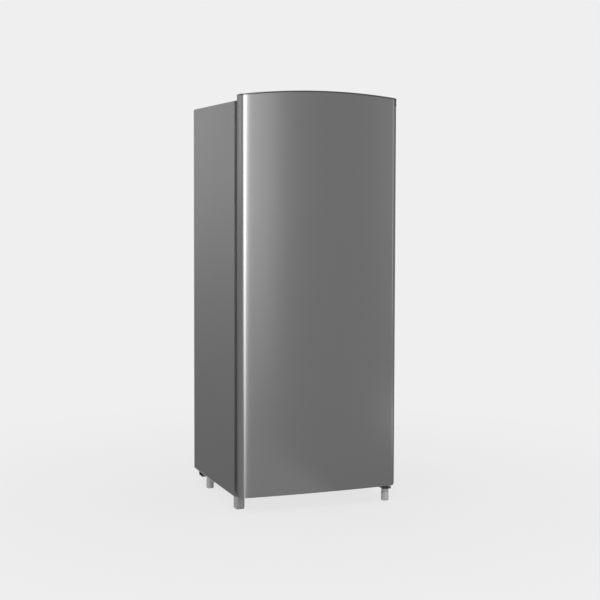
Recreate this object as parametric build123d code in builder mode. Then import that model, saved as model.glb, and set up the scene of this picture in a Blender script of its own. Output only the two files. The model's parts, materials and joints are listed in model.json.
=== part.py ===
from build123d import *
import os

# Single door refrigerator, front towards -Y, X to the right, Z up, in millimetres.
# The origin is under the middle of the whole object, on the floor.

# Cabinet
WIDTH = 480.0
CABINET_HEIGHT = 1117.0
CABINET_DEPTH = 407.0
FOOT_HEIGHT = 40.0
SHEET = 0.8
CABINET_CORNER = 6.0
SIDE_WALL = 38.0
REAR_WALL = 38.0
FLOOR_WALL = 45.0
ROOF_WALL = 45.0
LINER = 2.0
LINER_CORNER = 12.0
FRAME_FACE = 34.0
REAR_STANDOFF = 45.0

# Door
DOOR_GAP = 12.0
DOOR_DEPTH = 38.0
DOOR_BOW = 8.6
DOOR_CORNER = 18.0
DOOR_BOTTOM = 45.0
DOOR_TOP = 1172.0
DOOR_ARCH = 14.7
CAP_LIP = 4.0
CAP_OVERHANG = 1.0
CAP_END = 22.0
CAP_CHEEK = 9.0
LOWER_CORNER = 15.0
GRIP_DEPTH = 18.0
GRIP_LIP = 24.0
DYKE_OUTER = 190.0
DYKE_WIDTH = 25.0
DYKE_RISE = 37.0
DYKE_DRAFT = 6.0

# Hinge and feet, measured from the middle and from the cabinet's front plane
HINGE_X = 222.0
HINGE_Y = -24.0
PIN_RADIUS = 4.0
PIN_CLEARANCE = 0.05
BRACKET_THICK = 4.0
ARM_THICK = 3.0
FRONT_FOOT_X = 212.5
FRONT_FOOT_Y = -35.0
REAR_FOOT_X = 224.0
REAR_FOOT_Y = 290.0
FOOT_RADIUS = 11.0

# Compressor step
BAY_DEPTH = 145.0
BAY_HEIGHT = 185.0

# Heights of what is stored, above the floor
SHELF_HEIGHTS = {"lower": 470.0, "middle": 620.0, "upper": 765.0}
CRISPER_COVER_HEIGHT = 345.0
BIN_HEIGHTS = {"bottle": 126.0, "lower": 430.0, "middle": 660.0, "upper": 900.0}
SHELF_GLASS = 4.0
LEDGE_RISE = 6.0
LEDGE_REACH = 8.0
RAIL_BACK = 2.0
RAIL_HEIGHT = 18.0
RAIL_SETBACK = 106.0
RAIL_LENGTH = 236.0

# Places that follow from the dimensions above
DOOR_NOSE = DOOR_GAP + DOOR_DEPTH + DOOR_BOW + CAP_OVERHANG
FRONT = (DOOR_NOSE - CABINET_DEPTH - REAR_STANDOFF) / 2
BACK = FRONT + CABINET_DEPTH
BASE = FOOT_HEIGHT
TOP = BASE + CABINET_HEIGHT
HALF = WIDTH / 2
INSIDE = HALF - SIDE_WALL
INSIDE_BACK = BACK - REAR_WALL
INSIDE_FLOOR = BASE + FLOOR_WALL
INSIDE_ROOF = TOP - ROOF_WALL
BAY_FRONT = BACK - BAY_DEPTH
BAY_TOP = BASE + BAY_HEIGHT
STEP_FRONT = BAY_FRONT - REAR_WALL
STEP_TOP = BAY_TOP + REAR_WALL
DOOR_REAR = FRONT - DOOR_GAP
DOOR_EDGE = DOOR_REAR - DOOR_DEPTH
DYKE_TOP = DOOR_REAR + DYKE_RISE
DRAIN = (60.0, BACK - 62)


def facing(y):
    """Upright plane at depth y: a positive extrusion comes forward, a negative one goes back."""
    return Plane.XZ.offset(-y)


def compartment(margin=0.0):
    """Space inside the liner, open at the cabinet's front plane: rounded, or grown by margin and plain."""
    with BuildPart(mode=Mode.PRIVATE) as space:
        with BuildSketch(Plane.YZ.offset(-INSIDE - margin)) as side:
            with BuildLine():
                Polyline(
                    (FRONT, INSIDE_FLOOR - margin),
                    (STEP_FRONT + margin, INSIDE_FLOOR - margin),
                    (STEP_FRONT + margin, STEP_TOP - margin),
                    (INSIDE_BACK + margin, STEP_TOP - margin),
                    (INSIDE_BACK + margin, INSIDE_ROOF + margin),
                    (FRONT, INSIDE_ROOF + margin),
                    close=True,
                )
            make_face()
            if not margin:
                rear_corners = side.vertices().filter_by(lambda v: v.X > FRONT + 1)
                fillet(rear_corners, LINER_CORNER)
        extrude(amount=2 * (INSIDE + margin))
        if not margin:
            ends = space.faces().filter_by(Axis.X)
            rims = ends.edges().filter_by(lambda e: e.center().Y > FRONT + 1)
            fillet(rims, LINER_CORNER - 2)
    return space.part


def door_outline(grow=0.0):
    """Plan of the door: bowed face, rounded front corners, grip rebate at the rear left."""
    with BuildSketch(mode=Mode.PRIVATE) as plan:
        with BuildLine():
            left = (-HALF, DOOR_EDGE)
            right = (HALF, DOOR_EDGE)
            ThreePointArc(left, (0, DOOR_EDGE - DOOR_BOW), right)
            Polyline(
                right,
                (HALF, DOOR_REAR),
                (GRIP_DEPTH - HALF, DOOR_REAR),
                (GRIP_DEPTH - HALF, FRONT - GRIP_LIP),
                (-HALF, FRONT - GRIP_LIP),
                left,
            )
        make_face()
        nose = plan.vertices().group_by(Axis.Y)[0]
        fillet(nose, DOOR_CORNER)
        if grow:
            offset(amount=grow, kind=Kind.INTERSECTION)
    return plan.sketch


def arched_front(base, top, right_end=HALF + 5):
    """Front view of the door below its arch, up to right_end: top is the arch's height at the edges."""
    with BuildSketch(mode=Mode.PRIVATE) as view:
        with BuildLine():
            left = (-HALF, top)
            right = (HALF, top)
            ThreePointArc(left, (0, top + DOOR_ARCH), right)
            Polyline(right, (HALF + 5, top), (HALF + 5, base), (-HALF - 5, base), (-HALF - 5, top), left)
        make_face()
        with Locations(((right_end - HALF - 5) / 2, base)):
            Rectangle(right_end + HALF + 5, 4 * (top - base), mode=Mode.INTERSECT)
    return view.sketch


# Cabinet shell: one folded sheet for both sides and the top, with its front and rear flanges
with BuildPart() as cabinet_shell:
    with BuildSketch(facing(FRONT)):
        with BuildLine():
            middle = HALF - SHEET / 2
            FilletPolyline(
                (-middle, BASE),
                (-middle, TOP - SHEET / 2),
                (middle, TOP - SHEET / 2),
                (middle, BASE),
                radius=CABINET_CORNER,
            )
        trace(line_width=SHEET)
    extrude(amount=-CABINET_DEPTH)
    with BuildSketch(facing(FRONT)):
        with Locations((0, (BASE + TOP - CABINET_CORNER) / 2)):
            Rectangle(WIDTH - SHEET, CABINET_HEIGHT - CABINET_CORNER)
        with Locations((0, TOP - CABINET_CORNER / 2 - SHEET / 2)):
            Rectangle(WIDTH - 2 * CABINET_CORNER, CABINET_CORNER)
        with Locations((0, (BASE + INSIDE_ROOF + 4) / 2)):
            Rectangle(WIDTH - 2 * FRAME_FACE, INSIDE_ROOF + 4 - BASE, mode=Mode.SUBTRACT)
    extrude(amount=-SHEET)
    with BuildSketch(facing(BACK)):
        with Locations((0, (BAY_TOP + TOP - CABINET_CORNER) / 2)):
            Rectangle(WIDTH - SHEET, TOP - CABINET_CORNER - BAY_TOP)
        with Locations((0, (BAY_TOP + TOP) / 2 - 12)):
            Rectangle(WIDTH - 24, TOP - BAY_TOP - 12, mode=Mode.SUBTRACT)
    extrude(amount=SHEET)

# Base panel: front flange, floor, riser and roof of the compressor step, bent from one sheet
with BuildPart() as base_panel:
    fold = SHEET / 2
    with BuildSketch(Plane.YZ.offset(SHEET - HALF)):
        with BuildLine():
            FilletPolyline(
                (FRONT + SHEET, BASE + fold),
                (BAY_FRONT - fold, BASE + fold),
                (BAY_FRONT - fold, BAY_TOP + fold),
                (BACK - SHEET, BAY_TOP + fold),
                radius=4,
            )
        trace(line_width=SHEET)
    extrude(amount=WIDTH - 2 * SHEET)
    with BuildSketch(facing(FRONT)):
        with Locations((0, (BASE + INSIDE_FLOOR - 4) / 2)):
            Rectangle(WIDTH - 2 * FRAME_FACE, INSIDE_FLOOR - 4 - BASE)
    extrude(amount=-SHEET)
    with Locations((*DRAIN, BAY_TOP)):
        Cylinder(6.5, 10, mode=Mode.SUBTRACT)

# Inner liner: thin moulded tub with rounded corners, the step and a front flange
with BuildPart() as cabinet_liner:
    add(compartment(LINER))
    with BuildSketch(facing(FRONT)):
        with Locations((0, (INSIDE_FLOOR + INSIDE_ROOF) / 2)):
            Rectangle(WIDTH - 2 * FRAME_FACE, INSIDE_ROOF - INSIDE_FLOOR + 8)
    extrude(amount=-LINER / 2)
    add(compartment(), mode=Mode.SUBTRACT)
    with Locations((*DRAIN, STEP_TOP)):
        Cylinder(4.2, 30, mode=Mode.SUBTRACT)

# Shelf rails: an angle on each side wall under every glass panel
with BuildPart() as shelf_rails:
    for rail_top in (*SHELF_HEIGHTS.values(), CRISPER_COVER_HEIGHT):
        for side in (-1, 1):
            with BuildSketch(facing(FRONT + RAIL_SETBACK)):
                with Locations((side * (INSIDE - LEDGE_REACH / 2), rail_top - LEDGE_RISE / 2)):
                    Rectangle(LEDGE_REACH, LEDGE_RISE)
                with Locations((side * (INSIDE - RAIL_BACK / 2), rail_top + RAIL_HEIGHT / 2 - LEDGE_RISE)):
                    Rectangle(RAIL_BACK, RAIL_HEIGHT)
            extrude(amount=-RAIL_LENGTH)

# Foam between shell, liner and step
with BuildPart() as cabinet_foam:
    shoulder = TOP - CABINET_CORNER - SHEET
    with BuildSketch(Plane.YZ.offset(SHEET - HALF)):
        with BuildLine():
            Polyline(
                (FRONT + SHEET, BASE + SHEET),
                (BAY_FRONT - 12, BASE + SHEET),
                (BAY_FRONT - SHEET, BASE + SHEET + 11),
                (BAY_FRONT - SHEET, BAY_TOP + SHEET),
                (BACK - SHEET, BAY_TOP + SHEET),
                (BACK - SHEET, shoulder),
                (FRONT + SHEET, shoulder),
                close=True,
            )
        make_face()
    extrude(amount=WIDTH - 2 * SHEET)
    with Locations((0, (FRONT + BACK) / 2, shoulder + CABINET_CORNER / 2)):
        Box(WIDTH - 2 * CABINET_CORNER - 2, CABINET_DEPTH - 2 * SHEET, CABINET_CORNER)
    with Locations((0, FRONT + LINER / 4, (INSIDE_FLOOR + INSIDE_ROOF) / 2)):
        Box(
            WIDTH - 2 * FRAME_FACE,
            LINER,
            INSIDE_ROOF - INSIDE_FLOOR + 8,
            mode=Mode.SUBTRACT,
        )
    add(compartment(LINER), mode=Mode.SUBTRACT)
    with Locations((*DRAIN, (BAY_TOP + STEP_TOP) / 2)):
        Cylinder(6.2, REAR_WALL + 20, mode=Mode.SUBTRACT)

# Rear panel with two pressed stiffening beads
with BuildPart() as rear_panel:
    with BuildSketch(facing(BACK)):
        with Locations((0, (BAY_TOP + 4 + TOP - 4) / 2)):
            RectangleRounded(WIDTH - 12, TOP - BAY_TOP - 8, 8)
    extrude(amount=-SHEET)
    with BuildSketch(facing(BACK + SHEET)):
        with Locations((-217, 690), (217, 690)):
            SlotOverall(700, 12, rotation=90)
    extrude(amount=-2.5, taper=40)

# Base rails along both lower edges, which carry the rear feet and the compressor plate
RAIL_DEPTH = 4.0
with BuildPart() as base_rails:
    with BuildSketch(Plane.XY.offset(BASE - RAIL_DEPTH)):
        with Locations((16 - HALF, FRONT + 296), (HALF - 16, FRONT + 296)):
            RectangleRounded(26, 202, 6)
    extrude(amount=RAIL_DEPTH)

# Compressor plate: hat section from side to side, with its middle pressed down
PLATE = 2.0
PLATE_FRONT = FRONT + 302
PLATE_REAR = FRONT + 424
TROUGH_FRONT = FRONT + 347
TROUGH_REAR = FRONT + 390
TROUGH_FLOOR = BASE - 20
PLATE_TOP = BASE - RAIL_DEPTH
with BuildPart() as compressor_plate:
    with BuildSketch(Plane.YZ.offset(-230)):
        with BuildLine():
            FilletPolyline(
                (PLATE_FRONT, PLATE_TOP - PLATE / 2),
                (TROUGH_FRONT, PLATE_TOP - PLATE / 2),
                (TROUGH_FRONT + 4, TROUGH_FLOOR + PLATE / 2),
                (TROUGH_REAR - 4, TROUGH_FLOOR + PLATE / 2),
                (TROUGH_REAR, PLATE_TOP - PLATE / 2),
                (PLATE_REAR, PLATE_TOP - PLATE / 2),
                radius=4,
            )
        trace(line_width=PLATE)
    extrude(amount=460)

# Compressor: oval two-part can with its seam, mounting feet and stub pipes
MOUNT_X = 84.0
MOUNT_FRONT = FRONT + 322
MOUNT_REAR = FRONT + 408
MOUNT_RISE = 12.0
CAN_X = -20.0
CAN_Y = (MOUNT_FRONT + MOUNT_REAR) / 2
FOOT_PLATE = 2.5
CAN_BOTTOM = PLATE_TOP + MOUNT_RISE + FOOT_PLATE
CAN_HEIGHT = 136.0
mount_points = [
    (CAN_X + side * MOUNT_X, y) for side in (-1, 1) for y in (MOUNT_FRONT, MOUNT_REAR)
]
with BuildPart() as compressor:
    with BuildSketch(Plane.XY.offset(CAN_BOTTOM)):
        with Locations((CAN_X, CAN_Y)):
            SlotOverall(158, 124)
    extrude(amount=CAN_HEIGHT)
    chamfer(compressor.faces().sort_by(Axis.Z)[-1].edges(), 20)
    with BuildSketch(Plane.XY.offset(CAN_BOTTOM + 70)):
        with Locations((CAN_X, CAN_Y)):
            SlotOverall(164, 130)
    extrude(amount=5)
    with BuildSketch(Plane.XY.offset(CAN_BOTTOM - FOOT_PLATE)):
        with Locations((CAN_X, CAN_Y)):
            RectangleRounded(2 * MOUNT_X + 28, MOUNT_REAR - MOUNT_FRONT + 26, 12)
    extrude(amount=FOOT_PLATE)
    with BuildSketch(Plane.YZ.offset(CAN_X + 60)):
        with Locations((CAN_Y + 18, CAN_BOTTOM + 90), (CAN_Y + 18, CAN_BOTTOM + 44)):
            Circle(4)
    extrude(amount=34)

# Rubber mounts between the plate and the compressor's foot plate
with BuildPart() as compressor_mounts:
    with BuildSketch(Plane.XY.offset(PLATE_TOP)):
        with Locations(*mount_points):
            Circle(12)
    extrude(amount=MOUNT_RISE)

# Relay cover on the left side of the can
with BuildPart() as relay_cover:
    with BuildSketch(Plane.YZ.offset(CAN_X - 79 - 24)):
        with Locations((CAN_Y, CAN_BOTTOM + 37)):
            RectangleRounded(56, 62, 8)
    extrude(amount=24.5)
    with BuildSketch(Plane.XY.offset(CAN_BOTTOM)):
        with Locations((CAN_X, CAN_Y)):
            SlotOverall(158, 124)
    extrude(amount=CAN_HEIGHT, mode=Mode.SUBTRACT)

# Grommet for the supply lead, in the riser of the step
with BuildPart() as cord_grommet:
    with BuildSketch(facing(BAY_FRONT)):
        with Locations((-150, BASE + 120)):
            Circle(11)
            Circle(4, mode=Mode.SUBTRACT)
    extrude(amount=-7)

# Evaporation tray: open pan on top of the can, under the drain tube
TRAY_FLOOR = CAN_BOTTOM + CAN_HEIGHT
with BuildPart() as evaporation_tray:
    with BuildSketch(Plane.XY.offset(TRAY_FLOOR)):
        with Locations((CAN_X + 30, CAN_Y)):
            RectangleRounded(190, 100, 14)
    extrude(amount=24)
    with BuildSketch(Plane.XY.offset(TRAY_FLOOR + 2)):
        with Locations((CAN_X + 30, CAN_Y)):
            RectangleRounded(186, 96, 12)
    extrude(amount=24, mode=Mode.SUBTRACT)

# Drain tube from the liner's step down into the tray
with BuildPart() as drain_tube:
    with BuildSketch(Plane.XY.offset(TRAY_FLOOR + 14)):
        with Locations(DRAIN):
            Circle(6)
            Circle(4.2, mode=Mode.SUBTRACT)
    extrude(amount=STEP_TOP - LINER - TRAY_FLOOR - 14)

# Condenser: one serpentine tube with a row of wires along each face
TUBE_RADIUS = 2.5
WIRE = 1.6
PASSES = 10
PASS_PITCH = 84.0
PASS_HALF = 165.0
CONDENSER_Y = BACK + REAR_STANDOFF - TUBE_RADIUS - WIRE
CONDENSER_FLOOR = 290.0
with BuildPart() as condenser_tube:
    with BuildLine() as serpentine:
        for turn in range(PASSES):
            z = CONDENSER_FLOOR + turn * PASS_PITCH
            way = -1 if turn % 2 == 0 else 1
            start = (-way * PASS_HALF, CONDENSER_Y, z)
            finish = (way * PASS_HALF, CONDENSER_Y, z)
            Line(start, finish)
            if turn < PASSES - 1:
                bulge = (way * (PASS_HALF + PASS_PITCH / 2), CONDENSER_Y, z + PASS_PITCH / 2)
                above = (way * PASS_HALF, CONDENSER_Y, z + PASS_PITCH)
                ThreePointArc(finish, bulge, above)
    route = serpentine.wires()[0]
    with BuildSketch(Plane(origin=route @ 0, z_dir=route % 0)):
        RegularPolygon(TUBE_RADIUS, 6, major_radius=False)
    sweep(path=route)

WIRE_COUNT = 20
WIRE_LENGTH = (PASSES - 1) * PASS_PITCH + 24
with BuildPart() as condenser_wires:
    for side in (-1, 1):
        wire_y = CONDENSER_Y + side * (TUBE_RADIUS + WIRE / 2)
        middle_z = CONDENSER_FLOOR + (PASSES - 1) * PASS_PITCH / 2
        with Locations((0, wire_y, middle_z)):
            with GridLocations(2 * PASS_HALF / WIRE_COUNT, 1, WIRE_COUNT, 1):
                Box(WIRE, WIRE, WIRE_LENGTH)

# Clips that hold the condenser off the rear panel
CLIP_X = PASS_HALF - 2
with BuildPart() as condenser_clips:
    clip_reach = CONDENSER_Y - BACK - SHEET
    for z in (CONDENSER_FLOOR, CONDENSER_FLOOR + (PASSES - 1) * PASS_PITCH):
        for side in (-1, 1):
            with Locations((side * CLIP_X, BACK + SHEET + clip_reach / 2 + 2, z)):
                Box(9, clip_reach + 4, 14)
            with Locations((side * CLIP_X, BACK + SHEET + 1.5, z)):
                Box(26, 3, 30)
            with Locations((side * CLIP_X, CONDENSER_Y + 2, z)):
                Box(9, 2 * TUBE_RADIUS + 5, 2 * TUBE_RADIUS + 1, mode=Mode.SUBTRACT)

# Filter drier standing beside the compressor
DRIER_X = 185.0
DRIER_Y = BACK - 30
with BuildPart() as filter_drier:
    for base, height, radius in ((92, 102, 3), (103, 80, 9)):
        with BuildSketch(Plane.XY.offset(base)):
            with Locations((DRIER_X, DRIER_Y)):
                Circle(radius)
        extrude(amount=height)


def tube_along(points, radius, bend):
    """Tube on straight runs joined by arcs."""
    with BuildPart(mode=Mode.PRIVATE) as tube:
        with BuildLine():
            path = FilletPolyline(*points, radius=bend)
        with BuildSketch(Plane(origin=path @ 0, z_dir=path % 0)):
            RegularPolygon(radius, 6, major_radius=False)
        sweep(path=path)
    return tube.part


# Tubes of the circuit: can to condenser top, condenser foot to drier, and suction from the roof
CONDENSER_ROOF = CONDENSER_FLOOR + (PASSES - 1) * PASS_PITCH
STUB_X = CAN_X + 94
STUB_Y = CAN_Y + 18
DISCHARGE_Z = CAN_BOTTOM + 44
SUCTION_Z = CAN_BOTTOM + 90
RISER_X = PASS_HALF + PASS_PITCH / 2 + 10
with BuildPart() as refrigerant_tubes:
    discharge_route = [
        (STUB_X, STUB_Y, DISCHARGE_Z),
        (RISER_X, STUB_Y, DISCHARGE_Z),
        (RISER_X, CONDENSER_Y, DISCHARGE_Z),
        (RISER_X, CONDENSER_Y, CONDENSER_ROOF),
        (PASS_HALF, CONDENSER_Y, CONDENSER_ROOF),
    ]
    add(tube_along(discharge_route, TUBE_RADIUS, 14))
    outlet_route = [
        (PASS_HALF, CONDENSER_Y, CONDENSER_FLOOR),
        (DRIER_X, CONDENSER_Y, CONDENSER_FLOOR),
        (DRIER_X, CONDENSER_Y, BAY_TOP - 12),
        (DRIER_X, DRIER_Y, BAY_TOP - 12),
        (DRIER_X, DRIER_Y, 194),
    ]
    add(tube_along(outlet_route, TUBE_RADIUS, 9))
    suction_route = [(STUB_X, STUB_Y, SUCTION_Z), (120, STUB_Y, SUCTION_Z), (120, STUB_Y, BAY_TOP)]
    add(tube_along(suction_route, 4, 12))

# Evaporator: thin metal box open at the front, hung under the liner's roof
EVAP_HALF = 185.0
EVAP_FLOOR = 960.0
EVAP_TOP = 1100.0
EVAP_FRONT = FRONT + 84
EVAP_BACK = FRONT + 345
EVAP_SHEET = 1.5
with BuildPart() as evaporator:
    with BuildSketch(facing(EVAP_FRONT)):
        with Locations((0, (EVAP_FLOOR + EVAP_TOP) / 2)):
            RectangleRounded(2 * EVAP_HALF, EVAP_TOP - EVAP_FLOOR, 10)
    extrude(amount=EVAP_FRONT - EVAP_BACK)
    with BuildSketch(facing(EVAP_FRONT)):
        with Locations((0, (EVAP_FLOOR + EVAP_TOP) / 2)):
            RectangleRounded(
                2 * (EVAP_HALF - EVAP_SHEET), EVAP_TOP - EVAP_FLOOR - 2 * EVAP_SHEET, 8.5
            )
    extrude(amount=EVAP_FRONT - EVAP_BACK + EVAP_SHEET, mode=Mode.SUBTRACT)

with BuildPart() as evaporator_spacers:
    with Locations((0, (EVAP_FRONT + EVAP_BACK) / 2, (EVAP_TOP + INSIDE_ROOF) / 2)):
        with GridLocations(280, 180, 2, 2):
            Box(16, 16, INSIDE_ROOF - EVAP_TOP)

# Frame in front of the evaporator, with two lugs for the flap's pivots
FLAP_AXIS_X = 178.0
FLAP_AXIS_Y = FRONT + 66
FLAP_FLOOR = EVAP_FLOOR + 4
FLAP_TOP = EVAP_TOP - 4
LUG = 5.0
with BuildPart() as freezer_frame:
    with BuildSketch(facing(EVAP_FRONT)):
        with Locations((0, (EVAP_FLOOR + EVAP_TOP) / 2)):
            RectangleRounded(2 * EVAP_HALF + 12, EVAP_TOP - EVAP_FLOOR + 14, 10)
            RectangleRounded(2 * EVAP_HALF - 28, EVAP_TOP - EVAP_FLOOR - 24, 8, mode=Mode.SUBTRACT)
    extrude(amount=12)
    for z in (FLAP_FLOOR - 1 - LUG / 2, FLAP_TOP + 1 + LUG / 2):
        with Locations((FLAP_AXIS_X, FLAP_AXIS_Y + 2, z)):
            Box(13, 16, LUG)
        with Locations((FLAP_AXIS_X, FLAP_AXIS_Y, z)):
            Cylinder(3 + PIN_CLEARANCE, LUG, mode=Mode.SUBTRACT)

# Freezer flap: moulded panel with a raised border, rolled hinge edge and pull lip
with BuildPart() as freezer_flap:
    with BuildSketch(facing(FLAP_AXIS_Y + 4)):
        with Locations((-4, (FLAP_FLOOR + FLAP_TOP) / 2)):
            Rectangle(2 * FLAP_AXIS_X + 8, FLAP_TOP - FLAP_FLOOR)
    extrude(amount=8)
    with BuildSketch(facing(FLAP_AXIS_Y - 4)):
        with Locations((-6, (FLAP_FLOOR + FLAP_TOP) / 2)):
            RectangleRounded(2 * FLAP_AXIS_X - 28, FLAP_TOP - FLAP_FLOOR - 24, 8)
    extrude(amount=-3, mode=Mode.SUBTRACT)
    with Locations((FLAP_AXIS_X, FLAP_AXIS_Y, (FLAP_FLOOR + FLAP_TOP) / 2)):
        Cylinder(4.9, FLAP_TOP - FLAP_FLOOR)
        Cylinder(3, FLAP_TOP - FLAP_FLOOR + 2 + 2 * LUG - 1)
    with Locations((-FLAP_AXIS_X + 8, FLAP_AXIS_Y - 8, (FLAP_FLOOR + FLAP_TOP) / 2)):
        Box(5, 9, 70)

# Chiller tray on two rails under the evaporator
CHILLER_FLOOR = 902.0
CHILLER_TOP = 944.0
CHILLER_HALF = 172.0
CHILLER_FRONT = FRONT + 80
CHILLER_BACK = FRONT + 335
with BuildPart() as chiller_rails:
    for side in (-1, 1):
        with Locations((side * 187, FRONT + 215, (CHILLER_TOP - 6 + EVAP_FLOOR) / 2)):
            Box(4, 230, EVAP_FLOOR - CHILLER_TOP + 6)
        with Locations((side * 182, FRONT + 215, CHILLER_TOP - 5)):
            Box(14, 230, 2)

with BuildPart() as chiller_tray:
    tray_length = CHILLER_BACK - CHILLER_FRONT
    with BuildSketch(Plane.XY.offset(CHILLER_TOP)):
        with Locations((0, (CHILLER_FRONT + CHILLER_BACK) / 2)):
            RectangleRounded(2 * CHILLER_HALF, tray_length, 10)
    extrude(amount=CHILLER_FLOOR - CHILLER_TOP)
    with BuildSketch(Plane.XY.offset(CHILLER_TOP)):
        with Locations((0, (CHILLER_FRONT + CHILLER_BACK) / 2)):
            Rectangle(2 * CHILLER_HALF + 22, tray_length - 30)
    extrude(amount=-2.5)
    with BuildSketch(Plane.XY.offset(CHILLER_TOP)):
        with Locations((0, (CHILLER_FRONT + CHILLER_BACK) / 2)):
            RectangleRounded(2 * CHILLER_HALF - 5, tray_length - 5, 8)
    extrude(amount=CHILLER_FLOOR - CHILLER_TOP + 2.5, mode=Mode.SUBTRACT)


def glass_shelf(height, depth):
    """Toughened glass panel lying on its pair of ledges."""
    with BuildPart() as glass:
        with BuildSketch(Plane.XY.offset(height)):
            with Locations((0, FRONT + 86 + depth / 2)):
                RectangleRounded(2 * INSIDE - 12, depth, 5)
        extrude(amount=SHELF_GLASS)
    return glass


SHELF_DEPTH = 274.0
shelves = {f"{name}_shelf": glass_shelf(height, SHELF_DEPTH) for name, height in SHELF_HEIGHTS.items()}
shelves["crisper_cover"] = glass_shelf(CRISPER_COVER_HEIGHT, SHELF_DEPTH)

# Shelf trims: moulded front and rear edge on every glass shelf
with BuildPart() as shelf_trims:
    for height in SHELF_HEIGHTS.values():
        for y, way in ((FRONT + 86, 1), (FRONT + 86 + SHELF_DEPTH, -1)):
            with BuildSketch(Plane.YZ.offset(6 - INSIDE)) as section:
                with Locations((y + way * 4, height + SHELF_GLASS / 2)):
                    Rectangle(16, 13)
                chamfer(section.vertices(), 3.5)
                with Locations((y + way * 10, height + SHELF_GLASS / 2)):
                    Rectangle(20, SHELF_GLASS, mode=Mode.SUBTRACT)
            extrude(amount=2 * INSIDE - 12)

# Crisper drawer: stepped tub that passes over the compressor step, on two runners
CRISPER_HALF = 184.0
CRISPER_FRONT = FRONT + 88
CRISPER_BACK = STEP_FRONT - 8
CRISPER_REACH = FRONT + 350
CRISPER_FLOOR = INSIDE_FLOOR + 4
CRISPER_SHOULDER = STEP_TOP + 6
CRISPER_TOP = CRISPER_COVER_HEIGHT - 12
CRISPER_WALL = 2.5


def crisper_space(margin, top):
    """Stepped space of the drawer, shrunk by margin."""
    with BuildPart(mode=Mode.PRIVATE) as space:
        with BuildSketch(Plane.YZ.offset(margin - CRISPER_HALF)):
            with BuildLine():
                Polyline(
                    (CRISPER_FRONT + margin, top),
                    (CRISPER_FRONT + margin, CRISPER_FLOOR + margin),
                    (CRISPER_BACK - margin, CRISPER_FLOOR + margin),
                    (CRISPER_BACK - margin, CRISPER_SHOULDER + margin),
                    (CRISPER_REACH - margin, CRISPER_SHOULDER + margin),
                    (CRISPER_REACH - margin, top),
                    close=True,
                )
            make_face()
        extrude(amount=2 * (CRISPER_HALF - margin))
        fillet(space.edges().filter_by(Axis.Z), 9 - margin)
    return space.part


with BuildPart() as crisper_drawer:
    add(crisper_space(0, CRISPER_TOP))
    add(crisper_space(CRISPER_WALL, CRISPER_TOP + 5), mode=Mode.SUBTRACT)
    for side in (-1, 1):
        with Locations((side * 150, (CRISPER_FRONT + CRISPER_BACK) / 2, CRISPER_FLOOR - 2)):
            Box(6, 110, 4)
    with BuildSketch(Plane.YZ.offset(-80)):
        with BuildLine():
            Polyline(
                (CRISPER_FRONT, CRISPER_TOP),
                (CRISPER_FRONT - 10, CRISPER_TOP),
                (CRISPER_FRONT - 10, CRISPER_TOP - 14),
                (CRISPER_FRONT - 7.5, CRISPER_TOP - 14),
                (CRISPER_FRONT - 7.5, CRISPER_TOP - 2.5),
                (CRISPER_FRONT, CRISPER_TOP - 2.5),
                close=True,
            )
        make_face()
    extrude(amount=160)

# Thermostat housing on the right wall, with its knob, lamp, lamp cover and door switch
HOUSING_LEFT = 168.0
HOUSING_FRONT = FRONT + 34
HOUSING_BACK = FRONT + 156
HOUSING_FLOOR = 810.0
HOUSING_TOP = 886.0
KNOB_Y = HOUSING_FRONT + 92
LAMP_Y = HOUSING_FRONT + 40
HOUSING_MID = (HOUSING_FLOOR + HOUSING_TOP) / 2
SWITCH_X = 181.0
SWITCH_Z = HOUSING_MID
SWITCH_RADIUS = 4.0
with BuildPart() as thermostat_housing:
    with BuildSketch(Plane.YZ.offset(INSIDE)):
        with Locations(((HOUSING_FRONT + HOUSING_BACK) / 2, HOUSING_MID)):
            RectangleRounded(HOUSING_BACK - HOUSING_FRONT, HOUSING_TOP - HOUSING_FLOOR, 12)
    extrude(amount=HOUSING_LEFT - INSIDE)
    with BuildSketch(Plane.YZ.offset(INSIDE)):
        with Locations(((HOUSING_FRONT + HOUSING_BACK) / 2, HOUSING_MID)):
            RectangleRounded(
                HOUSING_BACK - HOUSING_FRONT - 5, HOUSING_TOP - HOUSING_FLOOR - 5, 10
            )
    extrude(amount=HOUSING_LEFT - INSIDE + 2.5, mode=Mode.SUBTRACT)
    with BuildSketch(Plane.YZ.offset(HOUSING_LEFT - 1)):
        with Locations((LAMP_Y, HOUSING_MID)):
            RectangleRounded(40, 52, 6)
        with Locations((KNOB_Y, HOUSING_MID)):
            Circle(3 + PIN_CLEARANCE)
    extrude(amount=5, mode=Mode.SUBTRACT)
    with Locations((SWITCH_X, HOUSING_FRONT, SWITCH_Z)):
        Cylinder(SWITCH_RADIUS + PIN_CLEARANCE, 12, rotation=(90, 0, 0), mode=Mode.SUBTRACT)

with BuildPart() as lamp_cover:
    with BuildSketch(Plane.YZ.offset(HOUSING_LEFT - 3)):
        with Locations((LAMP_Y, HOUSING_MID)):
            RectangleRounded(46, 58, 8)
    extrude(amount=3)

LAMP_X = (HOUSING_LEFT + INSIDE) / 2 + 2
with BuildPart() as lamp:
    with Locations((LAMP_X, LAMP_Y, HOUSING_FLOOR + 2.5 + 11)):
        Cylinder(7, 22)
    with Locations((LAMP_X, LAMP_Y, HOUSING_FLOOR + 34)):
        Cylinder(10, 20)

with BuildPart() as thermostat_knob:
    with BuildSketch(Plane.YZ.offset(HOUSING_LEFT - 0.3)):
        with Locations((KNOB_Y, HOUSING_MID)):
            Circle(17)
    extrude(amount=-5)
    with BuildSketch(Plane.YZ.offset(HOUSING_LEFT - 5)):
        with Locations((KNOB_Y, HOUSING_MID)):
            SlotOverall(30, 9)
    extrude(amount=-8)
    with BuildSketch(Plane.YZ.offset(HOUSING_LEFT - 1)):
        with Locations((KNOB_Y, HOUSING_MID)):
            Circle(3)
    extrude(amount=12)

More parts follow.
